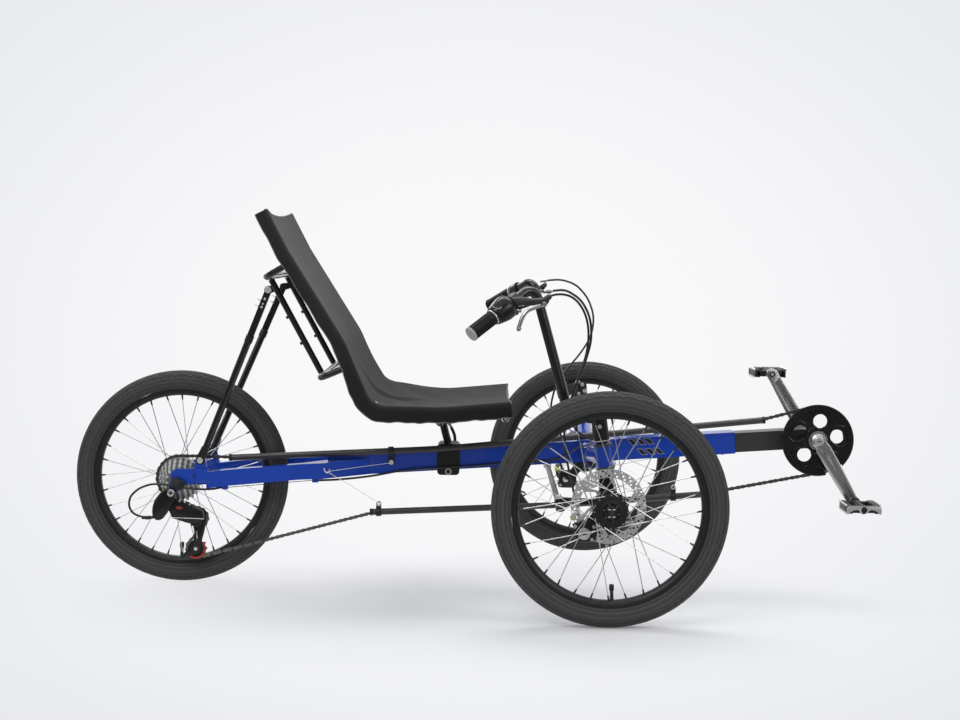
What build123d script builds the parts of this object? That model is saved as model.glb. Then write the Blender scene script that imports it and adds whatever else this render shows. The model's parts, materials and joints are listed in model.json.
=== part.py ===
"""Recumbent trike: two steered front wheels, one driven rear wheel, sling seat.

Millimetres, +X forward, +Y to the rider's left, +Z up.
Places along the trike are measured from the rear axle, and heights are those of a
trike whose axles are AXLE_Z above the ground. write_parts() then moves the whole
model so that the tyres stand on Z = 0 and the origin is under the middle of its box.
"""
import os
from math import asin, atan2, cos, pi, radians, sin, tan

from build123d import *

# ---------------------------------------------------------------- overall sizes
WHEELBASE = 973.0            # rear axle to front axles
HALF_TRACK = 387.0           # middle of the trike to a front wheel's middle plane
AXLE_Z = 250.0               # height of every wheel's axle in this drawing; see write_parts()
TYRE_RADIUS = 249.5          # 20 inch tyre, to the tread
TYRE_WIDTH = 45.0
RIM_RADIUS = TYRE_RADIUS - 43.5    # where the tyre sits
RIM_DEPTH = 15.0
RIM_WIDTH = 26.0

# ---------------------------------------------------------------- main tube and boom
MAIN_TUBE = 50.0             # square
MAIN_WALL = 2.2
MAIN_REAR_X = 345.0
MAIN_FRONT_X = 1294.0
MAIN_Z_AT_REAR_AXLE = 257.9  # the centre line carried back to X = 0
MAIN_RISE = 0.0673           # rise for each millimetre forward
BOOM_GAP = 0.3
BOOM_TUBE = MAIN_TUBE - 2 * (MAIN_WALL + BOOM_GAP)
BOOM_INSIDE = 160.0          # length of boom held in the main tube
BOTTOM_BRACKET_X = 1479.0
BOTTOM_BRACKET_RADIUS = 22.0
BOTTOM_BRACKET_WIDTH = 68.0
SPINDLE_RADIUS = 10.0
RUNNING_FIT = 0.06           # radial clearance of every shaft in its bore
SLEEVE_FIT = 0.1             # radial gap of a clamped or pressed sleeve

# ---------------------------------------------------------------- rear end
STAY_Y = 70.0
STAY_WIDTH = 20.0
STAY_START_X = 70.0
STAY_BEND_X = 335.0          # where a stay turns in towards the main tube
STAY_END_X = 440.0
# lower and upper edge of a stay: X, Z bottom, Z top
STAY_EDGES = [(STAY_START_X, 233.8, 271.8), (116.0, 240.1, 277.5), (286.0, 256.5, 292.5),
              (STAY_END_X, 262.6, 300.0)]
DROPOUT_INNER_Y = 67.5       # half of the 135 mm hub space
DROPOUT_THICKNESS = 6.0
DROPOUT_END = (4.5, 260.0)   # X and Z of the rounded end
DROPOUT_END_RADIUS = 18.0
HANGER = (-10.8, 222.9)      # X and Z of the derailleur bolt
HANGER_RADIUS = 10.0
REAR_AXLE_RADIUS = 5.0
AXLE_NUT_RADIUS = 9.5
AXLE_NUT_LENGTH = 10.0
RACK_HOLE = (36.0, 262.0)    # X and Z of the rack and mudguard eyelet
RACK_HOLE_RADIUS = 2.6

# ---------------------------------------------------------------- front axle and steering
KINGPIN_Y = HALF_TRACK - 75.0
KINGPIN_LEAN = 8.3           # degrees, top leaning back
HEAD_MIDDLE = (WHEELBASE - 9.0, 353.0)
HEAD_TUBE_RADIUS = 18.0
HEAD_TUBE_LENGTH = 56.0
KINGPIN_RADIUS = 12.0
CROSS_TUBE_RADIUS = 20.0
CROSS_TUBE_X = WHEELBASE - 28.0
STUB_RADIUS = 6.0
KNUCKLE_WIDTH = 28.0
STEERING_ARM_X = WHEELBASE - 103.0
STEERING_ARM_Z = 257.0
TIE_ROD_Z = 238.0
TIE_ROD_RADIUS = 6.5
BALL_PIN_RADIUS = 4.0
EYE_RADIUS = 10.0

# ---------------------------------------------------------------- front hub, disc and caliper
# distances across the wheel are from its middle plane, positive to the outside
FRONT_FLANGE = 22.0
FLANGE_THICKNESS = 4.0
FRONT_FLANGE_RADIUS = 34.0
FRONT_BARREL_RADIUS = 17.0
FRONT_HUB_END = 33.0
DISC_OFFSET = -40.0
DISC_THICKNESS = 2.0
DISC_RADIUS = 80.0
DISC_INNER_RADIUS = 22.0
CALIPER = (WHEELBASE - 47.0, 197.0)
CALIPER_SIZE = (48.0, 26.0, 44.0)
CALIPER_SLOT = 5.0

# ---------------------------------------------------------------- rear hub and cassette
REAR_FLANGES = (-21.0, 33.0)
REAR_FLANGE_RADIUS = 26.0
REAR_BARREL_RADIUS = 14.0
REAR_HUB_HALF = 64.0
FREEHUB_RADIUS = 12.0
SPROCKET_TEETH = [26, 23, 21, 19, 17, 15, 13, 12]
SPROCKET_FIRST_Y = -34.0
SPROCKET_STEP = 3.9
SPROCKET_THICKNESS = 1.8
CHAIN_PITCH = 12.7
CHAIN_HEIGHT = 8.4
CHAIN_WIDTH = 7.2
TOOTH_CLEARANCE = 2.0        # between a plain sprocket's edge and the chain

SPOKE_RADIUS = 0.9
SPOKES_PER_FLANGE = 16
SPOKE_CROSSES = 3
SPOKE_SPREAD = 1.6           # the two leans leave a flange this far to either side of its middle

# ---------------------------------------------------------------- handlebars
BAR_RADIUS = 11.0
BAR_Y = KINGPIN_Y - 44.0
BAR_FOOT = (WHEELBASE - 79.0, 425.0)
BAR_BEND = (WHEELBASE - 160.4, 714.0)
BAR_BEND_RADIUS = 22.0
GRIP_RADIUS = 16.0
SHIFTER_RADIUS = 21.0
SHIFTER_SPAN = (65.0, 114.0)
LEVER_CLAMP = 18.0           # length of its ring on the bar
# how each handlebar is set, by its side: how far forward it stands in its clamps, X and Z of its grip's end,
# how far outside the upright that is, the grip's length, and where the lever's ring begins
HANDLEBARS = {
    -1: {"forward": 0.0, "end": (WHEELBASE - 293.7, 613.4), "out": 90.0, "grip": 62.0, "lever": 119.0},
    1: {"forward": 16.0, "end": (WHEELBASE - 250.0, 644.4), "out": 110.0, "grip": 86.0, "lever": 96.0},
}
# places on a brake lever: X, outside and Z from the middle of its ring
LEVER_PIVOT = (61.0, 33.0, -4.0)
LEVER_ELBOW = (24.0, 43.0, -22.0)
LEVER_TIP = (10.0, 45.0, -57.0)
LEVER_OUTLET = (79.0, 29.0, 23.0)
BARREL_LENGTH = 18.0         # of the lever's cable adjuster
COLUMN_RADIUS = 17.0
STEM_Z = 436.0
SIDES = [("right", -1), ("left", 1)]
# free part of each brake cable: X from the front axle, distance outside the kingpin, Z
CABLE_BOWS = {
    -1: [(-96, 8, 707), (-62, 4, 686), (-42, -1, 648), (-38, -6, 602), (-50, -12, 553),
         (-70, -15, 502), (-88, -13, 448), (-95, -8, 393), (-87, -1, 338), (-74, 9, 284)],
    1: [(-71, 18, 714), (-33, 12, 702), (-2, 6, 668), (14, 0, 622), (8, -6, 572),
        (-20, -11, 527), (-55, -14, 486), (-84, -13, 440), (-95, -8, 390), (-87, -1, 338), (-74, 9, 284)],
}

# ---------------------------------------------------------------- cranks
CRANK_LENGTH = 162.0
CRANK_ANGLE = -60.0          # degrees of the right arm, from straight ahead
CHAINRING_TEETH = 38
CHAINRING_Y = -50.0
CHAINRING_THICKNESS = 2.5
CHAINRING_INNER = 61.0
GUARD_RADIUS = 83.0
GUARD_Y = -59.0
GUARD_THICKNESS = 4.0
GUARD_HOLE_RADIUS = 16.0
GUARD_HOLE_CIRCLE = 45.0
GUARD_SLOT = 44.0
SPIDER_RADIUS = 22.0         # boss of the right arm that the guard sits on
ARM_FOOT_Y = 70.0            # middle of an arm's thickness at the spindle
ARM_TIP_Y = 84.0
ARM_THICKNESS = 13.0
PEDAL_LENGTH = 78.0
PEDAL_WIDTH = 80.0
PEDAL_HEIGHT = 22.0
PEDAL_GAP = 7.0
PEDAL_PIN_RADIUS = 6.0
PEDAL_WINDOW = (18.0, 20.0)    # length of each opening, and its middle from the pin

# ---------------------------------------------------------------- seat
SEAT_HALF = 210.0
RAIL_RADIUS = 13.0
# centre line of a seat rail, top of the back to the front of the base: X, Z
RAIL_LINE = [(219.0, 862.0), (262.0, 779.0), (388.0, 578.0), (450.0, 428.0), (620.0, 428.0), (762.0, 441.0)]
RAIL_BENDS = [150.0, 150.0, 60.0, 300.0]
SLING_GAP = 0.3
SLING_THICKNESS = 4.0
SLING_OVERHANG = 8.0         # how far the sling reaches past a rail's centre
HOOP_RADIUS = 7.5
UPPER_HOOP = ((274.0, 752.0), (224.6, 724.1))
LOWER_HOOP = ((409.0, 530.0), (344.7, 502.6))
HOOP_CORNER_RADIUS = 28.0
ROD_Y = 135.0
ROD_RADIUS = 7.0
BRACE_RADIUS = 8.0
BRACE_FOOT = (56.3, 299.0)
BRACE_TOP = (221.0, 694.0)
BRACE_FOOT_Y = 66.0
BRACE_TOP_Y = 121.0
TAB_THICKNESS = 5.0
SEAT_CROSS_RADIUS = 9.0
SEAT_CROSS_DROP = 26.0
SEAT_LEG_X = 608.0
CLAMP_X = (600.0, 652.0)
CLAMP_BELOW = 12.0           # how far the plates reach past the main tube, below and above
CLAMP_ABOVE = 11.0
CLAMP_PLATE = 5.0
LEG_Y = 16.0

# ---------------------------------------------------------------- chain tubes and chain
CHAIN_TUBE_RADIUS = 7.4
CHAIN_TUBE_BORE = 5.9
CHAIN_TUBE_Y = -(MAIN_TUBE / 2 + CLAMP_PLATE + 12.0)
UPPER_TUBE_LINE = [(117.0, 300.5), (606.6, 325.8), (1359.5, 401.6)]
LOWER_TUBE_LINE = [(444.6, 176.0), (887.3, 197.3), (1226.7, 226.8)]
CHAIN_TUBE_BEND = 3000.0
CHAIN_ENTRY = 14.0           # how far the chain runs into a tube's mouth
PULLEY_TEETH = 11
GUIDE_PULLEY = (43.0, 157.5)
TENSION_PULLEY = (38.8, 86.0)
PULLEY_Y = -39.0
BARREL = (-38.0, 166.0)      # X and Z where the gear cable enters the derailleur
CABLE_RADIUS = 2.5
WIRE_RADIUS = 0.8
STOP_X = (112.0, 320.0)      # cable stops under the right stay
STOP_LENGTH = 14.0
STOP_HEIGHT = 8.0
CLIP_X = 493.0               # clip that holds the upper chain tube
HANGER_X = (465.0, 1150.0)   # hanger rings of the lower chain tube


# ================================================================ small tools
def main_z(x):
    """Height of the main tube's centre line at a place along the trike."""
    return MAIN_Z_AT_REAR_AXLE + MAIN_RISE * x


def pitch_radius(teeth):
    return CHAIN_PITCH / (2 * sin(pi / teeth))


def rod(start, end, radius):
    start, end = Vector(*start), Vector(*end)
    length = (end - start).length
    return Plane(origin=start, z_dir=end - start) * Cylinder(
        radius, length, align=(Align.CENTER, Align.CENTER, Align.MIN))


def bar(start, end, width, height, side_dir=(0, 1, 0)):
    """Straight rectangular bar; width lies along side_dir."""
    start, end = Vector(*start), Vector(*end)
    length = (end - start).length
    return Plane(origin=start, x_dir=side_dir, z_dir=end - start) * Box(
        width, height, length, align=(Align.CENTER, Align.CENTER, Align.MIN))


def across(x, z, radius, y_from, y_to):
    """Cylinder that lies across the trike."""
    low, high = sorted((y_from, y_to))
    return rod((x, low, z), (x, high, z), radius)


def side_plate(outline, y_from, y_to):
    """Plate with an X, Z outline, between two places across the trike."""
    low, high = sorted((y_from, y_to))
    face = Plane.XZ * outline
    return Pos(0, high, 0) * extrude(face, amount=high - low)


def swept(points, radii, radius):
    path = FilletPolyline(*points, radius=radii) if len(points) > 2 else Line(*points)
    return sweep(Plane(origin=path @ 0, z_dir=path % 0) * Circle(radius), path=path)


def cable(points, radius):
    """Round cable whose arcs are as large as its runs allow."""
    runs = [Vector(*b) - Vector(*a) for a, b in zip(points, points[1:])]
    radii = []
    for before, after in zip(runs, runs[1:]):
        turn = radians(before.get_angle(after))
        radii.append(0.45 * min(before.length, after.length) / tan(turn / 2))
    return swept(points, radii, radius), radii


def kingpin_direction():
    lean = radians(KINGPIN_LEAN)
    return Vector(-sin(lean), 0, cos(lean))


def kingpin_point(side, z):
    """Point of a kingpin's axis at a height."""
    x, middle_z = HEAD_MIDDLE
    return Vector(x - (z - middle_z) * tan(radians(KINGPIN_LEAN)), side * KINGPIN_Y, z)


def along_kingpin(side, z_low, z_high, radius):
    return rod(kingpin_point(side, z_low), kingpin_point(side, z_high), radius)


def main_tube_envelope():
    """The space that the main tube fills, to cut what is welded to it."""
    return bar((MAIN_REAR_X, 0, main_z(MAIN_REAR_X)), (MAIN_FRONT_X, 0, main_z(MAIN_FRONT_X)),
               MAIN_TUBE, MAIN_TUBE)


# ================================================================ frame
def make_main_tube():
    start = (MAIN_REAR_X, 0, main_z(MAIN_REAR_X))
    end = (MAIN_FRONT_X, 0, main_z(MAIN_FRONT_X))
    inside = MAIN_TUBE - 2 * MAIN_WALL
    return main_tube_envelope() - bar(start, end, inside, inside)


def make_boom():
    start_x = MAIN_FRONT_X - BOOM_INSIDE
    centre = (BOTTOM_BRACKET_X, main_z(BOTTOM_BRACKET_X))
    tube = bar((start_x, 0, main_z(start_x)), (centre[0] - 4, 0, main_z(centre[0] - 4)),
               BOOM_TUBE, BOOM_TUBE)
    half = BOTTOM_BRACKET_WIDTH / 2
    shell = across(*centre, BOTTOM_BRACKET_RADIUS, -half, half)
    bore = across(*centre, SPINDLE_RADIUS + RUNNING_FIT, -half - 1, half + 1)
    return tube + shell - bore


def make_cross_member():
    """Two cross tubes, each welded to its head tube and to the main tube's side."""
    middle = main_tube_envelope()
    pieces = []
    for side in (-1, 1):
        root = (CROSS_TUBE_X, 0, main_z(CROSS_TUBE_X))
        tip = kingpin_point(side, HEAD_MIDDLE[1])
        half = HEAD_TUBE_LENGTH / 2 * cos(radians(KINGPIN_LEAN))
        head = along_kingpin(side, HEAD_MIDDLE[1] - half, HEAD_MIDDLE[1] + half, HEAD_TUBE_RADIUS)
        bore = along_kingpin(side, HEAD_MIDDLE[1] - half - 2, HEAD_MIDDLE[1] + half + 2,
                             KINGPIN_RADIUS + RUNNING_FIT)
        pieces.append(rod(root, tip, CROSS_TUBE_RADIUS) - middle + head - bore)
    return pieces


def make_rear_stays():
    """Each stay runs from its dropout plate to the side of the main tube."""
    bottom = [(x, low) for x, low, high in STAY_EDGES]
    top = [(x, high) for x, low, high in reversed(STAY_EDGES)]
    from_side = side_plate(make_face(Polyline(*bottom, *top, close=True)), -200, 200)
    inner, outer = STAY_Y - STAY_WIDTH / 2, STAY_Y + STAY_WIDTH / 2
    weld = MAIN_TUBE / 2
    pieces = []
    for side in (-1, 1):
        plan = [(STAY_START_X, inner), (STAY_BEND_X - 50, inner), (MAIN_REAR_X + 5, weld),
                (STAY_END_X, weld), (STAY_END_X, weld + 2), (STAY_BEND_X, outer), (STAY_START_X, outer)]
        plan = [(x, side * y) for x, y in plan]
        stay = extrude(make_face(Polyline(*plan, close=True)), amount=600) & from_side
        piece = stay + make_dropout(side) + make_brace_tab(side)
        if side < 0:
            for x in STOP_X:
                piece += cable_stop(x)[0]
        pieces.append(piece)
    return pieces


def make_dropout(side):
    near = side * DROPOUT_INNER_Y
    far = side * (DROPOUT_INNER_Y + DROPOUT_THICKNESS)
    x, z = DROPOUT_END
    end = Pos(x, z) * Circle(DROPOUT_END_RADIUS)
    root = Pos(STAY_START_X, z) * Rectangle(6, 2 * DROPOUT_END_RADIUS)
    lobe = Pos(*HANGER) * Circle(HANGER_RADIUS)
    neck = Pos(x - 6, z - 10) * Circle(HANGER_RADIUS)
    outline = make_hull((end + root).edges()) + make_hull((lobe + neck).edges())
    plate = side_plate(outline, near, far)
    axle_hole = across(0, AXLE_Z, REAR_AXLE_RADIUS, near - side, far + side)
    rack_hole = across(*RACK_HOLE, RACK_HOLE_RADIUS, near - side, far + side)
    return plate - axle_hole - rack_hole


def make_brace_tab(side):
    """Ear on top of a stay, outside the seat brace's eye."""
    near = side * (BRACE_FOOT_Y + BRACE_RADIUS * 0.65)
    x, z = BRACE_FOOT
    ear = Pos(x, z) * Circle(11)
    root = Pos(x, STAY_EDGES[0][2] - 4) * Rectangle(36, 4)
    return side_plate(make_hull((ear + root).edges()), near, near + side * TAB_THICKNESS)


def make_rear_axle():
    outside = DROPOUT_INNER_Y + DROPOUT_THICKNESS
    end = outside + AXLE_NUT_LENGTH
    axle = across(0, AXLE_Z, REAR_AXLE_RADIUS, -end, end)
    for side in (-1, 1):
        axle += across(0, AXLE_Z, AXLE_NUT_RADIUS, side * outside, side * end)
    return axle


# ================================================================ seat
def rail_path(side, line=RAIL_LINE):
    return [(x, side * SEAT_HALF, z) for x, z in line]


def make_seat_rails():
    return [swept(rail_path(side), RAIL_BENDS, RAIL_RADIUS) for side in (-1, 1)]


def make_seat_cross_tubes():
    """Three tubes that join the rails: under the base, at its front and at the top of the back."""
    rails = make_seat_rails()
    # X and Z at the rails, X and Z of the dropped middle
    places = [((SEAT_LEG_X, 425.0), (SEAT_LEG_X, 425.0 - SEAT_CROSS_DROP)),
              ((756.0, 436.0), (756.0, 436.0 - SEAT_CROSS_DROP)),
              ((236.0, 826.0), (236.0 - 5, 826.0 - 3))]
    pieces = []
    for (x, z), (mid_x, mid_z) in places:
        line = [(x, -SEAT_HALF, z), (mid_x, -SEAT_HALF + 60, mid_z),
                (mid_x, SEAT_HALF - 60, mid_z), (x, SEAT_HALF, z)]
        tube = swept(line, [40, 40], SEAT_CROSS_RADIUS)
        for rail in rails:
            tube = tube - rail
        pieces.append(max(tube.solids(), key=lambda solid: solid.volume))
    return pieces


def hoop_points(root, corner):
    (x, z), (corner_x, corner_z) = root, corner
    corner_y = SEAT_HALF - 12
    return [(x, -SEAT_HALF, z), (corner_x, -corner_y, corner_z), (corner_x, corner_y, corner_z),
            (x, SEAT_HALF, z)]


def make_seat_hoops():
    """Two hoops that stand back from the seat back's rails."""
    rails = make_seat_rails()
    pieces = []
    for root, corner in (UPPER_HOOP, LOWER_HOOP):
        hoop = swept(hoop_points(root, corner), [HOOP_CORNER_RADIUS, HOOP_CORNER_RADIUS], HOOP_RADIUS)
        for rail in rails:
            hoop = hoop - rail
        pieces.append(max(hoop.solids(), key=lambda solid: solid.volume))
    return pieces


def make_seat_back_rods():
    """Two rods from hoop to hoop, each with the ear that its seat brace is bolted to."""
    (top_x, top_z), (low_x, low_z) = UPPER_HOOP[1], LOWER_HOOP[1]
    length = ((low_x - top_x) ** 2 + (low_z - top_z) ** 2) ** 0.5
    step = ((low_x - top_x) / length, (low_z - top_z) / length)
    seat = HOOP_RADIUS + 0.1
    start = (top_x + step[0] * seat, top_z + step[1] * seat)
    end = (low_x - step[0] * seat, low_z - step[1] * seat)
    pieces = []
    for side in (-1, 1):
        body = rod((start[0], side * ROD_Y, start[1]), (end[0], side * ROD_Y, end[1]), ROD_RADIUS)
        near = side * (BRACE_TOP_Y + BRACE_RADIUS * 0.65)
        ear = Pos(*BRACE_TOP) * Circle(9)
        on_rod = Pos(top_x + step[0] * 30, top_z + step[1] * 30) * Circle(6)
        body += side_plate(make_hull((ear + on_rod).edges()), near, near + side * TAB_THICKNESS)
        pieces.append(body)
    return pieces


def make_seat_braces():
    """Telescoping struts from the stays up to the seat back."""
    pieces = []
    for side in (-1, 1):
        foot = Vector(BRACE_FOOT[0], side * BRACE_FOOT_Y, BRACE_FOOT[1])
        top = Vector(BRACE_TOP[0], side * BRACE_TOP_Y, BRACE_TOP[1])
        reach = top - foot
        middle = foot + reach * 0.72
        half_eye = BRACE_RADIUS * 0.65
        strut = rod(foot + reach * 0.015, middle, BRACE_RADIUS)
        strut += bar(foot + reach * 0.5, top - reach * 0.012, 8, 15)
        for x, y, z in (tuple(foot), tuple(top)):
            strut += across(x, z, 9, y - half_eye, y + half_eye)
        # the strut stays between its ears' inner faces
        tab = side_plate(Pos(*BRACE_FOOT) * Circle(30), side * (BRACE_FOOT_Y + half_eye), side * 110)
        ear = side_plate(Pos(*BRACE_TOP) * Circle(26), side * (BRACE_TOP_Y + half_eye), side * 160)
        pieces.append(strut - tab - ear)
    return pieces


def make_seat_clamp():
    """Saddle over the main tube, with two legs up to the seat's middle cross tube."""
    low_x, high_x = CLAMP_X
    mid_x = (low_x + high_x) / 2
    low_z = main_z(mid_x) - MAIN_TUBE / 2 - CLAMP_BELOW
    high_z = main_z(mid_x) + MAIN_TUBE / 2 + CLAMP_ABOVE
    mid_z = (low_z + high_z) / 2
    outline = Pos(mid_x, mid_z) * RectangleRounded(high_x - low_x, high_z - low_z, 9)
    half = MAIN_TUBE / 2 + CLAMP_PLATE
    saddle = side_plate(outline, -half, half)
    under = Pos(mid_x, 0, low_z) * Box(120, MAIN_TUBE, 80, align=(Align.CENTER, Align.CENTER, Align.CENTER))
    cross_z = 425.0 - SEAT_CROSS_DROP
    cross = across(SEAT_LEG_X, cross_z, SEAT_CROSS_RADIUS, -100, 100)
    for side in (-1, 1):
        line = [(mid_x, side * LEG_Y, high_z - 6), (mid_x - 8, side * LEG_Y, high_z + 22),
                (SEAT_LEG_X, side * LEG_Y, cross_z)]
        saddle += swept(line, [30], 8)
    bolt = across(mid_x, low_z + 8, 3, -half - 4, half + 4)
    return saddle - main_tube_envelope() - under - cross + bolt


def offset_line(line, distance):
    """Outline moved to its left by a distance, with its corners on the same bisectors."""
    headings = [atan2(b[1] - a[1], b[0] - a[0]) for a, b in zip(line, line[1:])]
    before, after = [headings[0]] + headings, headings + [headings[-1]]
    moved = []
    for (x, z), first, second in zip(line, before, after):
        middle, half_turn = (first + second) / 2, (second - first) / 2
        reach = distance / cos(half_turn)
        moved.append((x - reach * sin(middle), z + reach * cos(middle)))
    turns = [second - first for first, second in zip(headings, headings[1:])]
    return moved, turns


def make_seat_sling():
    """Fabric over the rails, as one plain sheet of the true outline."""
    distance = RAIL_RADIUS + SLING_GAP + SLING_THICKNESS / 2
    line, turns = offset_line(RAIL_LINE, distance)
    radii = [bend - distance if turn > 0 else bend + distance for bend, turn in zip(RAIL_BENDS, turns)]
    path = FilletPolyline(*[(x, 0, z) for x, z in line], radius=radii)
    section = Rectangle(2 * (SEAT_HALF + SLING_OVERHANG), SLING_THICKNESS)
    return sweep(Plane(origin=path @ 0, x_dir=(0, 1, 0), z_dir=path % 0) * section, path=path)


# ================================================================ chain run
def directed_tangent(first, second):
    """Points where a line leaves the first circle and meets the second.

    Each circle is X, Z, signed radius: positive where the chain turns left round it.
    """
    (x1, z1, r1), (x2, z2, r2) = first, second
    gap = ((x2 - x1) ** 2 + (z2 - z1) ** 2) ** 0.5
    heading = atan2(z2 - z1, x2 - x1) - asin((r2 - r1) / gap)
    normal = (-sin(heading), cos(heading))
    leave = (x1 - r1 * normal[0], z1 - r1 * normal[1])
    meet = (x2 - r2 * normal[0], z2 - r2 * normal[1])
    return leave, meet, heading


def ring_sector(x, z, radius, height, y, width, start, end):
    """Part of a flat ring across the trike, from one angle to another, counter-clockwise."""
    sweep_angle = (end - start) % (2 * pi)
    middle = start + sweep_angle / 2
    reach = 3 * radius
    ring = Circle(radius + height / 2) - Circle(radius - height / 2)
    if sweep_angle < pi:
        edges = [(0, 0), (reach * cos(start), reach * sin(start)),
                 (reach * cos(middle) * 1.5, reach * sin(middle) * 1.5),
                 (reach * cos(end), reach * sin(end))]
        ring = ring & make_face(Polyline(*edges, close=True))
    else:
        back = middle + pi
        edges = [(0, 0), (reach * cos(end), reach * sin(end)),
                 (reach * cos(back) * 1.5, reach * sin(back) * 1.5),
                 (reach * cos(start), reach * sin(start))]
        ring = ring - make_face(Polyline(*edges, close=True))
    return side_plate(Pos(x, z) * ring, y - width / 2, y + width / 2)


def chain_run(stations):
    """Chain through stations of X, Z, signed radius, Y; radius 0 is a tube's mouth."""
    tangents = [directed_tangent(a[:3], b[:3]) for a, b in zip(stations, stations[1:])]
    run = None
    for (leave, meet, heading), a, b in zip(tangents, stations, stations[1:]):
        piece = bar((leave[0], a[3], leave[1]), (meet[0], b[3], meet[1]), CHAIN_WIDTH, CHAIN_HEIGHT)
        run = piece if run is None else run + piece
    for (x, z, radius, y), before, after in zip(stations[1:-1], tangents, tangents[1:]):
        turn = -pi / 2 if radius > 0 else pi / 2
        start, end = before[2] + turn, after[2] + turn
        if radius < 0:
            start, end = end, start
        overlap = 0.04
        run = run + ring_sector(x, z, abs(radius), CHAIN_HEIGHT, y, CHAIN_WIDTH,
                                start - overlap, end + overlap)
    return run


def into_tube(line, at_start):
    """Place inside a chain tube, a little way from one of its mouths."""
    a, b = (line[0], line[1]) if at_start else (line[-1], line[-2])
    length = ((b[0] - a[0]) ** 2 + (b[1] - a[1]) ** 2) ** 0.5
    share = CHAIN_ENTRY / length
    return (a[0] + (b[0] - a[0]) * share, a[1] + (b[1] - a[1]) * share)


def make_chain():
    """The two stretches that show: round the cassette and pulleys, and round the chainring."""
    cassette = pitch_radius(SPROCKET_TEETH[0])
    pulley = pitch_radius(PULLEY_TEETH)
    ring = pitch_radius(CHAINRING_TEETH)
    tube = CHAIN_TUBE_Y
    rear = chain_run([(*UPPER_TUBE_LINE[0], 0, tube), (0, AXLE_Z, cassette, SPROCKET_FIRST_Y),
                      (*GUIDE_PULLEY, -pulley, PULLEY_Y), (*TENSION_PULLEY, pulley, PULLEY_Y),
                      (*LOWER_TUBE_LINE[0], 0, tube)])
    front = chain_run([(*LOWER_TUBE_LINE[-1], 0, tube),
                       (BOTTOM_BRACKET_X, main_z(BOTTOM_BRACKET_X), ring, CHAINRING_Y),
                       (*UPPER_TUBE_LINE[-1], 0, tube)])
    mouths = []
    for line in (UPPER_TUBE_LINE, LOWER_TUBE_LINE):
        for at_start in (True, False):
            mouth = line[0] if at_start else line[-1]
            inside = into_tube(line, at_start)
            mouths.append(bar((mouth[0], tube, mouth[1]), (inside[0], tube, inside[1]),
                              CHAIN_WIDTH, CHAIN_HEIGHT))
    upper_rear, upper_front, lower_rear, lower_front = mouths
    return [rear + upper_rear + lower_rear, front + upper_front + lower_front]


def make_chain_tube(line):
    points = [(x, CHAIN_TUBE_Y, z) for x, z in line]
    outside = swept(points, [CHAIN_TUBE_BEND], CHAIN_TUBE_RADIUS)
    return outside - swept(points, [CHAIN_TUBE_BEND], CHAIN_TUBE_BORE)


def make_derailleur():
    """Hanger bolt, knuckles and linkage, and the cage with its two pulleys."""
    outside = -(DROPOUT_INNER_Y + DROPOUT_THICKNESS)
    pulley = pitch_radius(PULLEY_TEETH) - CHAIN_HEIGHT / 2 - 0.3
    plate_y = PULLEY_Y - CHAIN_WIDTH / 2 - 3
    inner_y = PULLEY_Y + CHAIN_WIDTH / 2 + 1.5
    body = across(*HANGER, 10, outside, outside - 12)
    linkage = [HANGER, (6, 196), (36, 178), GUIDE_PULLEY]
    for a, b in zip(linkage, linkage[1:]):
        body += bar((a[0], outside - 6, a[1]), (b[0], outside - 6, b[1]), 12, 20)
    lobe = Pos(*HANGER) * Circle(9) + Pos(*BARREL) * Circle(9) + Pos(12, 184) * Circle(11)
    body += side_plate(make_hull(lobe.edges()), outside - 1, outside - 11)
    body += across(*GUIDE_PULLEY, 12, plate_y, outside - 12)
    for place in (GUIDE_PULLEY, TENSION_PULLEY):
        body += across(*place, pulley, PULLEY_Y - 2, PULLEY_Y + 2)
        body += across(*place, 3.5, inner_y + 2, plate_y - 2)
    ends = Pos(*GUIDE_PULLEY) * Circle(9) + Pos(*TENSION_PULLEY) * Circle(9)
    cage = make_hull(ends.edges())
    body += side_plate(cage, plate_y, plate_y - 2)
    body += side_plate(cage, inner_y, inner_y + 2)
    return body


# ================================================================ wheels
def ring_about_axle(x, y, profile):
    """Solid of revolution across the trike; profile is radius, distance along Y."""
    face = make_face(Polyline(*profile, close=True))
    solid = revolve(Plane.XY * face, axis=Axis.Y)
    return Pos(x, y, AXLE_Z) * solid


def make_tyre(x, y):
    section = TYRE_WIDTH / 2
    middle = TYRE_RADIUS - section
    face = Pos(middle, 0) * Circle(section)
    face = face - Pos(RIM_RADIUS - 20, 0) * Rectangle(40, 80)
    return Pos(x, y, AXLE_Z) * revolve(face, axis=Axis.Y)


def make_rim(x, y):
    half = RIM_WIDTH / 2
    inner = RIM_RADIUS - RIM_DEPTH
    return ring_about_axle(x, y, [(RIM_RADIUS, -half), (RIM_RADIUS, half), (inner + 7, half),
                                  (inner, half - 5), (inner, 5 - half), (inner + 7, -half)])


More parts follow.
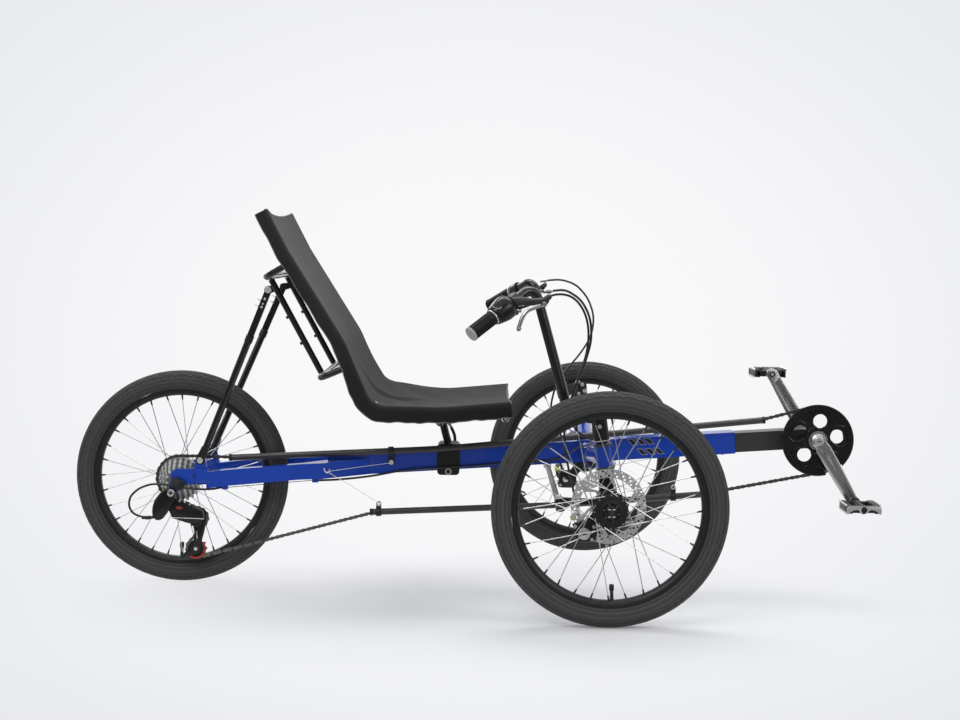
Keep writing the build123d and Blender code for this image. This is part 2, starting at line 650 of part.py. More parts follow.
def make_spokes(x, y, flanges):
    """Spokes of one wheel; flanges lists Y from the wheel's middle and the flange's radius.

    A spoke starts just outside its flange's edge; the two leans cross without touching.
    """
    turn = 2 * pi / SPOKES_PER_FLANGE
    rim = RIM_RADIUS - RIM_DEPTH - 0.2
    spokes = []
    for flange, (flange_y, flange_radius) in enumerate(flanges):
        circle = flange_radius + SPOKE_RADIUS + 0.3
        for number in range(SPOKES_PER_FLANGE):
            lean = 1 if number % 2 else -1
            at_rim = turn * (number + 0.5 * flange)
            at_hub = at_rim + lean * SPOKE_CROSSES * turn
            rim_y = 3.0 if flange_y > 0 else -3.0
            hub_y = flange_y + lean * SPOKE_SPREAD
            start = (x + circle * cos(at_hub), y + hub_y, AXLE_Z + circle * sin(at_hub))
            end = (x + rim * cos(at_rim), y + rim_y, AXLE_Z + rim * sin(at_rim))
            spokes.append(rod(start, end, SPOKE_RADIUS))
    return spokes


def make_front_hub(side):
    x, y = WHEELBASE, side * HALF_TRACK
    bore = STUB_RADIUS + RUNNING_FIT
    half = FLANGE_THICKNESS / 2
    carrier = DISC_OFFSET + DISC_THICKNESS / 2
    inner, outer = -FRONT_FLANGE, FRONT_FLANGE
    profile = [(bore, carrier), (DISC_INNER_RADIUS, carrier), (DISC_INNER_RADIUS, inner - half),
               (FRONT_FLANGE_RADIUS, inner - half), (FRONT_FLANGE_RADIUS, inner + half),
               (FRONT_BARREL_RADIUS, inner + half), (FRONT_BARREL_RADIUS, outer - half),
               (FRONT_FLANGE_RADIUS, outer - half), (FRONT_FLANGE_RADIUS, outer + half),
               (20, outer + half), (18, FRONT_HUB_END), (bore, FRONT_HUB_END)]
    return ring_about_axle(x, y, [(radius, side * out) for radius, out in profile])


def make_disc(side):
    y = side * (HALF_TRACK + DISC_OFFSET)
    half = DISC_THICKNESS / 2
    disc = across(WHEELBASE, AXLE_Z, DISC_RADIUS, y - half, y + half)
    disc -= across(WHEELBASE, AXLE_Z, STUB_RADIUS + 2, y - 5, y + 5)
    windows = []
    for number in range(6):
        angle = 2 * pi * number / 6
        place = (WHEELBASE + 43 * cos(angle), AXLE_Z + 43 * sin(angle))
        windows.append(across(*place, 15, y - 5, y + 5))
    for window in windows:
        disc -= window
    return disc


def make_rear_hub():
    bore = REAR_AXLE_RADIUS + RUNNING_FIT
    half = FLANGE_THICKNESS / 2
    drive, free = REAR_FLANGES
    barrel, flange = REAR_BARREL_RADIUS, REAR_FLANGE_RADIUS
    profile = [(bore, -REAR_HUB_HALF), (FREEHUB_RADIUS, -REAR_HUB_HALF),
               (FREEHUB_RADIUS, drive - half), (flange, drive - half), (flange, drive + half), (barrel, drive + half), (barrel, free - half),
               (flange, free - half), (flange, free + half), (barrel, free + half),
               (barrel, REAR_HUB_HALF), (bore, REAR_HUB_HALF)]
    return ring_about_axle(0, 0, profile)


def make_cassette():
    """Stack of plain sprockets on their carrier; the largest is next to the spokes."""
    last_y = SPROCKET_FIRST_Y - SPROCKET_STEP * (len(SPROCKET_TEETH) - 1)
    body = across(0, AXLE_Z, 15, SPROCKET_FIRST_Y + 2, last_y - 1.5)
    for number, teeth in enumerate(SPROCKET_TEETH):
        y = SPROCKET_FIRST_Y - SPROCKET_STEP * number
        radius = pitch_radius(teeth) - CHAIN_HEIGHT / 2 - TOOTH_CLEARANCE * (number == 0)
        half = SPROCKET_THICKNESS / 2
        body += across(0, AXLE_Z, radius, y - half, y + half)
    return body - across(0, AXLE_Z, FREEHUB_RADIUS + SLEEVE_FIT, SPROCKET_FIRST_Y + 20, last_y - 20)


# ================================================================ steering
def make_knuckle(side):
    """Kingpin, stub axle, steering arm with its ball pin, and the caliper's mount."""
    axis = kingpin_direction()
    half_head = HEAD_TUBE_LENGTH / 2 * cos(radians(KINGPIN_LEAN))
    under_head = HEAD_MIDDLE[1] - half_head - 1.0
    y = side * KINGPIN_Y
    pin = along_kingpin(side, under_head - 4, STEM_Z + 12, KINGPIN_RADIUS)
    block = along_kingpin(side, under_head - 12, under_head, HEAD_TUBE_RADIUS)
    top = kingpin_point(side, under_head - 6)
    block += bar(top, (WHEELBASE, y, AXLE_Z - 6), KNUCKLE_WIDTH, 30)
    block += across(WHEELBASE, AXLE_Z, 17, y - side * 14, y + side * 20)
    stub_end = side * (HALF_TRACK + FRONT_HUB_END + 2)
    stub = across(WHEELBASE, AXLE_Z, STUB_RADIUS, y, stub_end)
    stub += across(WHEELBASE, AXLE_Z, 10, stub_end, stub_end + side * 5)
    eye = Vector(STEERING_ARM_X, y, STEERING_ARM_Z)
    arm = bar((WHEELBASE - 8, y, STEERING_ARM_Z - 4), (STEERING_ARM_X, y, STEERING_ARM_Z), 16, 10)
    arm += rod(eye - axis * 5, eye + axis * 5, EYE_RADIUS)
    drop = STEERING_ARM_Z - TIE_ROD_Z
    arm += rod(eye - axis * (drop + 7), eye, BALL_PIN_RADIUS)
    mount_y = y + side * 16
    mount = bar((WHEELBASE - 10, mount_y, AXLE_Z - 8), (CALIPER[0], mount_y, CALIPER[1]), 5, 22)
    return pin + block + stub + arm + mount


def make_caliper(side):
    """Brake caliper, open where the disc runs through it."""
    length, width, height = CALIPER_SIZE
    disc_y = side * (HALF_TRACK + DISC_OFFSET)
    low = side * (KINGPIN_Y + 18.5)
    body = side_plate(Pos(*CALIPER) * RectangleRounded(length, height, 8), low, low + side * width)
    slot = side_plate(Pos(WHEELBASE, AXLE_Z) * Circle(DISC_RADIUS + 4),
                      disc_y - CALIPER_SLOT / 2, disc_y + CALIPER_SLOT / 2)
    return body - slot


def bar_bend(side):
    """Corner between a handlebar's upright and its grip."""
    return Vector(BAR_BEND[0] + HANDLEBARS[side]["forward"], side * BAR_Y, BAR_BEND[1])


def bar_foot(side):
    """Lower end of an upright."""
    return Vector(BAR_FOOT[0] + HANDLEBARS[side]["forward"], side * BAR_Y, BAR_FOOT[1])


def make_stem(side):
    column_low = HEAD_MIDDLE[1] + HEAD_TUBE_LENGTH / 2 + 4
    column = along_kingpin(side, column_low, STEM_Z + 12, COLUMN_RADIUS)
    column -= along_kingpin(side, column_low - 5, STEM_Z + 20, KINGPIN_RADIUS + SLEEVE_FIT)
    foot, bend = bar_foot(side), bar_bend(side)
    rise = (bend - foot) * (1 / (bend - foot).length)
    at_bar = foot + rise * ((STEM_Z - foot.Z) / rise.Z)
    clamp = rod(at_bar - rise * 18, at_bar + rise * 18, BAR_RADIUS + 5)
    start = kingpin_point(side, STEM_Z - 2)
    link = bar(start, at_bar, 24, 20, side_dir=(0, 0, 1))
    link -= along_kingpin(side, column_low - 5, STEM_Z + 40, KINGPIN_RADIUS + SLEEVE_FIT)
    hole = rod(foot - rise * 60, bend, BAR_RADIUS + SLEEVE_FIT)
    return column + link + clamp - hole


def make_handlebar(side):
    end = grip_frame(side)[0]
    points = [tuple(bar_foot(side)), tuple(bar_bend(side)), tuple(end)]
    return swept(points, [BAR_BEND_RADIUS], BAR_RADIUS)


def grip_frame(side):
    """End of a handlebar and the direction from there along the grip."""
    row = HANDLEBARS[side]
    end = Vector(row["end"][0], side * (BAR_Y + row["out"]), row["end"][1])
    bend = bar_bend(side)
    return end, (bend - end) * (1 / (bend - end).length)


def sleeve(side, span, radius):
    """Ring round the straight part of a handlebar."""
    end, direction = grip_frame(side)
    outside = rod(end + direction * span[0], end + direction * span[1], radius)
    return outside - rod(end, end + direction * (span[1] + 5), BAR_RADIUS + SLEEVE_FIT)


def make_grip(side):
    end, direction = grip_frame(side)
    cap = rod(end - direction * 3, end, GRIP_RADIUS + 0.5)
    return sleeve(side, (0, HANDLEBARS[side]["grip"]), GRIP_RADIUS) + cap


def lever_span(side):
    start = HANDLEBARS[side]["lever"]
    return start, start + LEVER_CLAMP


def lever_places(side):
    """Middle of a brake lever's ring, its pivot, elbow and tip, and where its cable leaves."""
    end, direction = grip_frame(side)
    ring = end + direction * (sum(lever_span(side)) / 2)
    places = [ring]
    for forward, out, up in (LEVER_PIVOT, LEVER_ELBOW, LEVER_TIP, LEVER_OUTLET):
        places.append(ring + Vector(forward, side * out, up))
    return places


def make_brake_lever(side):
    clamp, pivot, elbow, tip, outlet = lever_places(side)
    end, direction = grip_frame(side)
    body = sleeve(side, lever_span(side), BAR_RADIUS + 5)
    reach = rod(clamp + Vector(0, side * 14, 0), pivot, 7) + Pos(*tuple(pivot)) * Sphere(8)
    # the barrel that the cable leaves from lies along its first run
    first_run = (Vector(*brake_cable_route(side)[1]) - outlet).normalized()
    barrel = outlet - first_run * BARREL_LENGTH
    reach += rod(pivot, barrel, 6) + Pos(*tuple(barrel)) * Sphere(6) + rod(barrel, outlet, 5)
    blade = rod(pivot, elbow, 4) + Pos(*tuple(elbow)) * Sphere(4) + rod(elbow, tip, 4)
    hole = rod(end, end + direction * 150, BAR_RADIUS + SLEEVE_FIT)
    return body + (reach - hole) + blade + Pos(*tuple(tip)) * Sphere(5)


def brake_cable_route(side):
    """From the lever's outlet, in a forward bow and down to the caliper's arm."""
    points = [tuple(lever_places(side)[4])]
    for x, y, z in CABLE_BOWS[side]:
        points.append((WHEELBASE + x, side * (KINGPIN_Y + y), z))
    end_x, end_z = CALIPER[0] - 14, CALIPER[1] + CALIPER_SIZE[2] / 2 + 0.8
    points.append((end_x, side * (KINGPIN_Y + 24), end_z))
    return points


def make_tie_rod():
    """Straight rod with an eye at each end, on the ball pins of both steering arms."""
    axis = kingpin_direction()
    drop = STEERING_ARM_Z - TIE_ROD_Z
    bore = BALL_PIN_RADIUS + RUNNING_FIT
    ends = [Vector(STEERING_ARM_X, side * KINGPIN_Y, STEERING_ARM_Z) - axis * drop for side in (-1, 1)]
    body = rod(ends[0], ends[1], TIE_ROD_RADIUS)
    for end in ends:
        body += rod(end - axis * 5, end + axis * 5, EYE_RADIUS)
    for end in ends:
        body -= rod(end - axis * 20, end + axis * 20, bore)
    return body


# ================================================================ cranks
def crank_tip(side):
    """X and Z of a pedal's axis; the right arm's angle is set, the left is opposite."""
    angle = radians(CRANK_ANGLE) + (pi if side > 0 else 0)
    x, z = BOTTOM_BRACKET_X, main_z(BOTTOM_BRACKET_X)
    return x + CRANK_LENGTH * cos(angle), z + CRANK_LENGTH * sin(angle)


def make_crank_arms():
    """Spindle and both arms."""
    x, z = BOTTOM_BRACKET_X, main_z(BOTTOM_BRACKET_X)
    outside = ARM_FOOT_Y + ARM_THICKNESS / 2
    body = across(x, z, SPINDLE_RADIUS, -outside, outside)
    for side in (-1, 1):
        tip_x, tip_z = crank_tip(side)
        foot_y, tip_y = side * ARM_FOOT_Y, side * ARM_TIP_Y
        half = ARM_THICKNESS / 2
        body += across(x, z, 17, foot_y - half, foot_y + half)
        body += across(tip_x, tip_z, 14, tip_y - half, tip_y + half)
        body += bar((x, foot_y, z), (tip_x, tip_y, tip_z), ARM_THICKNESS, 24)
        pin_end = side * (ARM_TIP_Y + half + PEDAL_GAP + PEDAL_WIDTH - 4)
        body += across(tip_x, tip_z, PEDAL_PIN_RADIUS, tip_y, pin_end)
    body += across(x, z, SPIDER_RADIUS, -(BOTTOM_BRACKET_WIDTH / 2 + 6), -ARM_FOOT_Y)
    return body


def make_chainring():
    x, z = BOTTOM_BRACKET_X, main_z(BOTTOM_BRACKET_X)
    outer = pitch_radius(CHAINRING_TEETH) - CHAIN_HEIGHT / 2 - TOOTH_CLEARANCE
    low, high = CHAINRING_Y - CHAINRING_THICKNESS / 2, CHAINRING_Y + CHAINRING_THICKNESS / 2
    return across(x, z, outer, low, high) - across(x, z, CHAINRING_INNER, low - 5, high + 5)


def make_chain_guard():
    """Five-armed disc outside the chainring, open along the crank arm."""
    x, z = BOTTOM_BRACKET_X, main_z(BOTTOM_BRACKET_X)
    low, high = GUARD_Y - GUARD_THICKNESS / 2, GUARD_Y + GUARD_THICKNESS / 2
    disc = across(x, z, GUARD_RADIUS, low, high) - across(x, z, SPIDER_RADIUS + SLEEVE_FIT, low - 5, high + 5)
    arm = radians(CRANK_ANGLE)
    for number in range(1, 5):
        angle = arm + 2 * pi * number / 5
        place = (x + GUARD_HOLE_CIRCLE * cos(angle), z + GUARD_HOLE_CIRCLE * sin(angle))
        disc -= across(*place, GUARD_HOLE_RADIUS, low - 5, high + 5)
    start = (x + 26 * cos(arm), GUARD_Y, z + 26 * sin(arm))
    end = (x + 120 * cos(arm), GUARD_Y, z + 120 * sin(arm))
    disc -= bar(start, end, 20, GUARD_SLOT)
    ring_face = CHAINRING_Y - CHAINRING_THICKNESS / 2
    for number in range(5):
        angle = arm + 2 * pi * (number + 0.5) / 5
        place = (x + 67 * cos(angle), z + 67 * sin(angle))
        disc += across(*place, 4, high, ring_face)
    return disc


def make_pedal(side):
    """Flat pedal, level, turning on the arm's pin."""
    x, z = crank_tip(side)
    inner = side * (ARM_TIP_Y + ARM_THICKNESS / 2 + PEDAL_GAP)
    outer = inner + side * PEDAL_WIDTH
    body = side_plate(Pos(x, z) * RectangleRounded(PEDAL_LENGTH, PEDAL_HEIGHT, 4), inner, outer)
    middle_y = (inner + outer) / 2
    window, window_x = PEDAL_WINDOW
    for end in (-1, 1):
        body -= Pos(x + end * window_x, middle_y, z) * Box(window, PEDAL_WIDTH - 24, 60)
    return body - across(x, z, PEDAL_PIN_RADIUS + RUNNING_FIT, inner - side * 5, outer + side * 5)


# ================================================================ gear cable
def stay_bottom(x):
    """Height of a stay's lower edge."""
    for (x1, low1, _), (x2, low2, _) in zip(STAY_EDGES, STAY_EDGES[1:]):
        if x <= x2:
            return low1 + (low2 - low1) * (x - x1) / (x2 - x1)
    return STAY_EDGES[-1][1]


def cable_stop(x):
    """Cable stop under the right stay, and the two places where a housing meets it."""
    z = stay_bottom(x) - STOP_HEIGHT / 2
    block = Pos(x, -STAY_Y, z) * Box(STOP_LENGTH, STOP_HEIGHT, STOP_HEIGHT + 1)
    return block, (x + STOP_LENGTH / 2, -STAY_Y, z), (x - STOP_LENGTH / 2, -STAY_Y, z)


def make_shift_cable():
    """Housing from the head tube to the first stop, bare wire, and the loop to the derailleur."""
    side_y = -(MAIN_TUBE / 2 + CABLE_RADIUS + 0.1)
    first_front, first_back = cable_stop(STOP_X[1])[1:]
    second_front, second_back = cable_stop(STOP_X[0])[1:]
    front = [(942, -284, 384), (940, -240, 367), (936, -180, 357), (930, -115, 346), (918, -56, 331),
             (884, side_y, main_z(884) - 15), (820, side_y, main_z(820) - 18), (745, side_y, main_z(745) - 16),
             (682, side_y - 6, main_z(682) - 18), (626, side_y - 6, main_z(626) - 18),
             (570, side_y - 6, main_z(570) - 17), (510, side_y - 6, main_z(510) - 20), (455, side_y - 16, 262),
             (405, side_y - 27, 257), (365, side_y - 40, 255.2), first_front]
    loop = [second_back, (86, -72, 231.5), (62, -77, 231), (36, -78.5, 232.5), (4, -79, 236.6), (-24, -79, 242),
            (-56, -79, 243.5), (-86, -79, 232), (-105, -79, 214), (-109.5, -79, 193), (-101, -79, 175),
            (-82, -79, 166), (BARREL[0] - 9, -79, BARREL[1])]
    pieces = []
    for points in (front, loop):
        housing, radii = cable(points, CABLE_RADIUS)
        print("gear cable arcs", [round(radius) for radius in radii])
        pieces.append(housing)
    pieces.append(rod(first_back, second_front, WIRE_RADIUS))
    return pieces


# ================================================================ chain tube clips
def line_point(line, x):
    """Point and direction of a chain tube's centre line at a place along the trike."""
    for (x1, z1), (x2, z2) in zip(line, line[1:]):
        if x <= x2:
            share = (x - x1) / (x2 - x1)
            return Vector(x, CHAIN_TUBE_Y, z1 + (z2 - z1) * share), Vector(x2 - x1, 0, z2 - z1).normalized()
    raise ValueError("beyond the chain tube")


def make_chain_tube_clips():
    """One clip from the upper tube to the main tube, and two hanger rings on the lower tube."""
    outer = CHAIN_TUBE_RADIUS + 3
    inner = CHAIN_TUBE_RADIUS + SLEEVE_FIT
    pieces = []
    for line, x, eye_rise in ((UPPER_TUBE_LINE, CLIP_X, 0), (LOWER_TUBE_LINE, HANGER_X[0], 19),
                              (LOWER_TUBE_LINE, HANGER_X[1], 19)):
        middle, direction = line_point(line, x)
        ring = rod(middle - direction * 6, middle + direction * 6, outer)
        if eye_rise:
            ring += side_plate(make_hull((Pos(x, middle.Z + eye_rise) * Circle(6)
                                          + Pos(x, middle.Z + 4) * Rectangle(12, 2)).edges()),
                               CHAIN_TUBE_Y - 2, CHAIN_TUBE_Y + 2)
            ring -= across(x, middle.Z + eye_rise, 2.5, CHAIN_TUBE_Y - 9, CHAIN_TUBE_Y + 9)
        else:
            foot_z, foot_y = main_z(x) + 2, -MAIN_TUBE / 2 - 3
            ring += bar((x, CHAIN_TUBE_Y + 5, middle.Z - 6), (x, foot_y, foot_z + 8), 12, 4, (1, 0, 0))
            ring += across(x, foot_z, 8, foot_y + 3, foot_y - 3)
            ring += bar((x, foot_y, foot_z), (x, foot_y, foot_z + 9), 12, 4, (1, 0, 0))
        pieces.append(ring - rod(middle - direction * 20, middle + direction * 20, inner))
    return pieces


def write_parts():
    nodes = {
        "main_tube": make_main_tube(),
        "boom": make_boom(),
        "cross_member": make_cross_member(),
        "rear_stays": make_rear_stays(),
        "rear_axle": make_rear_axle(),
        "seat_rails": make_seat_rails(),
        "seat_cross_tubes": make_seat_cross_tubes(),
        "seat_hoops": make_seat_hoops(),
        "seat_back_rods": make_seat_back_rods(),
        "seat_braces": make_seat_braces(),
        "seat_clamp": make_seat_clamp(),
        "seat_sling": make_seat_sling(),
        "upper_chain_tube": make_chain_tube(UPPER_TUBE_LINE),
        "lower_chain_tube": make_chain_tube(LOWER_TUBE_LINE),
        "chain": make_chain(),
        "derailleur": make_derailleur(),
        "shift_cable": make_shift_cable(),
        "chain_tube_clips": make_chain_tube_clips(),
        "rear_tyre": make_tyre(0, 0),
        "rear_rim": make_rim(0, 0),
        "rear_spokes": make_spokes(0, 0, [(y, REAR_FLANGE_RADIUS) for y in REAR_FLANGES]),
        "rear_hub": make_rear_hub(),
        "cassette": make_cassette(),
        "tie_rod": make_tie_rod(),
        "crank_arms": make_crank_arms(),
        "chainring": make_chainring(),
        "chain_guard": make_chain_guard(),
    }
    for name, side in SIDES:
        y = side * HALF_TRACK
        flanges = [(-FRONT_FLANGE, FRONT_FLANGE_RADIUS), (FRONT_FLANGE, FRONT_FLANGE_RADIUS)]
        nodes[f"{name}_tyre"] = make_tyre(WHEELBASE, y)
        nodes[f"{name}_rim"] = make_rim(WHEELBASE, y)
        nodes[f"{name}_spokes"] = make_spokes(WHEELBASE, y, flanges)
        nodes[f"{name}_hub"] = make_front_hub(side)
        nodes[f"{name}_disc"] = make_disc(side)
        nodes[f"{name}_knuckle"] = make_knuckle(side)
        nodes[f"{name}_stem"] = make_stem(side)
        nodes[f"{name}_handlebar"] = make_handlebar(side)
        nodes[f"{name}_grip"] = make_grip(side)
        nodes[f"{name}_brake_lever"] = make_brake_lever(side)
        nodes[f"{name}_caliper"] = make_caliper(side)
        nodes[f"{name}_brake_cable"], radii = cable(brake_cable_route(side), CABLE_RADIUS)
        print(name, "brake cable arcs", [round(radius) for radius in radii])
        nodes[f"{name}_pedal"] = make_pedal(side)
    nodes["right_shifter"] = sleeve(-1, SHIFTER_SPAN, SHIFTER_RADIUS)

    nose = crank_tip(-1)[0] + PEDAL_LENGTH / 2
    centre = Pos((TYRE_RADIUS - nose) / 2, 0, TYRE_RADIUS - AXLE_Z)
    print("model moved by", [round(number, 3) for number in centre.position])
    os.makedirs("parts", exist_ok=True)
    for name, shape in nodes.items():
        solids = []
        for piece in shape if isinstance(shape, list) else [shape]:
            solids += (centre * piece).solids()
        whole = solids[0] if len(solids) == 1 else Compound(children=solids)
        export_step(whole, f"parts/{name}.step")


write_parts()
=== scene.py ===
"""A low recumbent trike: its finishes, its small parts, and the light and camera that show it."""

import json
from math import asin, atan2, cos, hypot, pi, radians, sin, tan

import bmesh
import bpy
from mathutils import Matrix, Vector
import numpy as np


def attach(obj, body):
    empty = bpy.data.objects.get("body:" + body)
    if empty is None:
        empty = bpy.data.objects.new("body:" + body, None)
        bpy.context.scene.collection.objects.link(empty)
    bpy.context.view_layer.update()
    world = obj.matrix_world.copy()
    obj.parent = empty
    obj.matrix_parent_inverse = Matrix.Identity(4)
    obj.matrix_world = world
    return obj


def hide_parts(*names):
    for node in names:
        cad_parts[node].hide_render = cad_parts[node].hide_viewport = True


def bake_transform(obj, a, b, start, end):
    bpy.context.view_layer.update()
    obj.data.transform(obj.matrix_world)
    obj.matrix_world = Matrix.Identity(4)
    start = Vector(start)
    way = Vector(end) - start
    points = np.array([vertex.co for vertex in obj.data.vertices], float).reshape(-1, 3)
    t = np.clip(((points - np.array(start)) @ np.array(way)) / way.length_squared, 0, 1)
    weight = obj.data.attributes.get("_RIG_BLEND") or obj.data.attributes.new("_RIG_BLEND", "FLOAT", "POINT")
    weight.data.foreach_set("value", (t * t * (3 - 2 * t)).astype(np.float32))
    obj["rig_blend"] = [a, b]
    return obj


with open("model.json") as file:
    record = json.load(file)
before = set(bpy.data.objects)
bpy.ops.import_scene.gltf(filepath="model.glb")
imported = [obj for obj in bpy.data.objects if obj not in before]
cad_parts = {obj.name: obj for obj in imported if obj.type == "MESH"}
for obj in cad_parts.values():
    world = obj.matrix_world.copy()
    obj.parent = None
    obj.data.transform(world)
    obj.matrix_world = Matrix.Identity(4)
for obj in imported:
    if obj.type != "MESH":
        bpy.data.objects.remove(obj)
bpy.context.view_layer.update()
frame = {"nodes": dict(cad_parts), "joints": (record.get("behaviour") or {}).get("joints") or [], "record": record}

NODES = frame["nodes"]
JOINTS = {joint["name"]: joint for joint in frame["joints"]}
SIDES = (("right", -1), ("left", 1))
ACROSS = Vector((0, 1, 0))
REAR_AXLE = Vector(JOINTS["rear_wheel_spin"]["pos_m"])
DATUM = 250                        # the drawing's height of the axles, in millimetres


def at(x, y, z):
    """A place in metres, from millimetres ahead of the rear axle, to the left and above the ground."""
    return Vector((REAR_AXLE.x + x / 1000, y / 1000, REAR_AXLE.z + (z - DATUM) / 1000))


def outward(side):
    """The direction away from the trike's middle: side is -1 for the right and 1 for the left."""
    return Vector((0, side, 0))


# ---------------------------------------------------------------- modelling by operators
def deselect():
    bpy.ops.object.select_all(action="DESELECT")


def select(*pieces):
    deselect()
    for piece in pieces:
        piece.select_set(True)
    bpy.context.view_layer.objects.active = pieces[0]


def edit():
    bpy.ops.object.mode_set(mode="EDIT")


def extrude_by(vector):
    bpy.ops.mesh.extrude_region_move(TRANSFORM_OT_translate={"value": vector})


def fatten_by(distance):
    bpy.ops.mesh.extrude_region_shrink_fatten(TRANSFORM_OT_shrink_fatten={"value": distance})


def edit_all():
    edit()
    bpy.ops.mesh.select_all(action="SELECT")


def to_object():
    bpy.ops.object.mode_set(mode="OBJECT")
    bpy.ops.object.transform_apply()
    return bpy.context.object


def pick(test, kind="FACE"):
    """Selects the faces or vertices of the mesh in edit mode that pass a test."""
    bpy.ops.mesh.select_all(action="DESELECT")
    bpy.ops.mesh.select_mode(type=kind)
    mesh = bmesh.from_edit_mesh(bpy.context.object.data)
    for part in (mesh.faces if kind == "FACE" else mesh.verts):
        part.select_set(bool(test(part)))
    mesh.select_flush_mode()
    bmesh.update_edit_mesh(bpy.context.object.data)


def start_line(points, closed):
    """A new mesh in edit mode: one run of edges, extruded from point to point."""
    deselect()
    bpy.ops.mesh.primitive_plane_add(size=0.001, location=points[0])
    edit_all()
    bpy.ops.mesh.select_mode(type="VERT")
    bpy.ops.mesh.select_all(action="SELECT")
    bpy.ops.mesh.merge(type="CENTER")
    for here, there in zip(points, points[1:]):
        extrude_by(Vector(there) - Vector(here))
    if closed:
        last = len(points) - 1
        pick(lambda vertex: vertex.index in (0, last), "VERT")
        bpy.ops.mesh.edge_face_add()
    bpy.ops.mesh.select_all(action="SELECT")


def tidy_normals(merge=1e-6):
    bpy.ops.mesh.select_all(action="SELECT")
    bpy.ops.mesh.remove_doubles(threshold=merge)
    bpy.ops.mesh.normals_make_consistent(inside=False)


def modified(piece, kind, **settings):
    """The piece with one modifier applied."""
    select(piece)
    modifier = piece.modifiers.new(kind, kind)
    for name, value in settings.items():
        setattr(modifier, name, value)
    bpy.ops.object.modifier_apply(modifier=modifier.name)
    return piece


def bevelled(piece, width, segments=2, angle=40):
    return modified(piece, "BEVEL", width=width / 1000, segments=segments, limit_method="ANGLE",
                    angle_limit=radians(angle), harden_normals=False)


def turned(profile, centre, axis=ACROSS, steps=64, closed=True):
    """A turned piece; its profile lists millimetres from the axis and along it from the centre."""
    axis = Vector(axis).normalized()
    side = axis.orthogonal().normalized()
    start_line([centre + side * (r / 1000) + axis * (a / 1000) for r, a in profile], closed)
    bpy.ops.mesh.spin(steps=steps, angle=2 * pi, center=centre, axis=axis)
    tidy_normals()
    return to_object()


def extruded(points, vector, bevel=0.0):
    """A flat outline, drawn out along a vector, its edges bevelled."""
    start_line(points, True)
    bpy.ops.mesh.edge_face_add()
    extrude_by(vector)
    tidy_normals()
    piece = to_object()
    return bevelled(piece, bevel, 2, 30) if bevel else piece


def side_plate(outline, y, thickness, bevel=0.0):
    """A plate across the trike: its outline lists X and Z in millimetres, its near face is at y."""
    return extruded([at(x, y, z) for x, z in outline], Vector((0, thickness / 1000, 0)), bevel)


def round_bar(start, end, radius, sides=24, bevel=0.0, tip=None):
    """A round bar between two places, radii in millimetres; tip is the radius at its end."""
    run = end - start
    deselect()
    bpy.ops.mesh.primitive_cone_add(vertices=sides, radius1=radius / 1000, depth=run.length,
                                    radius2=(radius if tip is None else tip) / 1000,
                                    location=(start + end) / 2,
                                    rotation=run.to_track_quat("Z", "Y").to_euler())
    piece = bpy.context.object
    bpy.ops.object.transform_apply()
    return bevelled(piece, bevel, 2, 50) if bevel else piece


def bolt(place, outward, radius, height=4.0, sides=24, socket=0.5):
    """A bolt head on a surface, with a bevelled rim and a sunk socket."""
    outward = Vector(outward).normalized()
    piece = round_bar(place, place + outward * (height / 1000), radius, sides, 0.12 * radius)
    edit()
    top = (place + outward * (height / 1000)).dot(outward)
    pick(lambda face: face.normal.dot(outward) > 0.99
         and abs(face.calc_center_median().dot(outward) - top) < 1e-5)
    bpy.ops.mesh.inset(thickness=radius * (1 - socket) / 1000 * 0.85)
    extrude_by(outward * (-0.5 * height / 1000))
    return to_object()


def box(low, high, bevel=0.0):
    """A block between two corners, in metres."""
    deselect()
    bpy.ops.mesh.primitive_cube_add(size=1, location=(Vector(low) + Vector(high)) / 2)
    bpy.context.object.scale = Vector(high) - Vector(low)
    bpy.ops.object.transform_apply()
    piece = bpy.context.object
    return bevelled(piece, bevel) if bevel else piece


def swept(points, radius, resolution=6, sides=3, order=3, cyclic=False):
    """A wire or tube along one smooth curve through control points."""
    curve = bpy.data.curves.new("route", "CURVE")
    curve.dimensions = "3D"
    curve.bevel_depth = radius / 1000
    curve.bevel_resolution = sides
    curve.resolution_u = resolution
    curve.use_fill_caps = not cyclic
    spline = curve.splines.new("NURBS")
    spline.points.add(len(points) - 1)
    for knot, point in zip(spline.points, points):
        knot.co = (*point, 1)
    spline.order_u = order
    spline.use_endpoint_u = not cyclic
    spline.use_cyclic_u = cyclic
    piece = bpy.data.objects.new("route", curve)
    bpy.context.scene.collection.objects.link(piece)
    select(piece)
    bpy.ops.object.convert(target="MESH")
    return bpy.context.object


def copied(piece, matrix=None):
    """A copy with its own mesh, moved by a matrix."""
    twin = bpy.data.objects.new(piece.name, piece.data.copy())
    bpy.context.scene.collection.objects.link(twin)
    if matrix is not None:
        twin.data.transform(matrix)
        if matrix.determinant() < 0:
            twin.data.flip_normals()
    return twin


def about(centre, axis, angle):
    return Matrix.Translation(centre) @ Matrix.Rotation(angle, 4, Vector(axis)) @ Matrix.Translation(-centre)


def sided(piece, side):
    """A piece drawn on the right: itself for that side, or its mirror image for the left."""
    if side < 0:
        return piece
    twin = copied(piece, Matrix.Diagonal((1, -1, 1, 1)))
    bpy.data.objects.remove(piece)
    return twin


def around(piece, count, centre, axis=ACROSS):
    """The piece repeated evenly around an axis, as one mesh."""
    return joined([piece] + [copied(piece, about(centre, axis, 2 * pi * k / count)) for k in range(1, count)])


def joined(pieces):
    select(*pieces)
    if len(pieces) > 1:
        bpy.ops.object.join()
    return bpy.context.object


def cut(piece, cutters):
    """Takes shapes out of the piece."""
    cutter = joined(cutters)
    modified(piece, "BOOLEAN", operation="DIFFERENCE", solver="EXACT", object=cutter)
    bpy.data.objects.remove(cutter)
    return piece


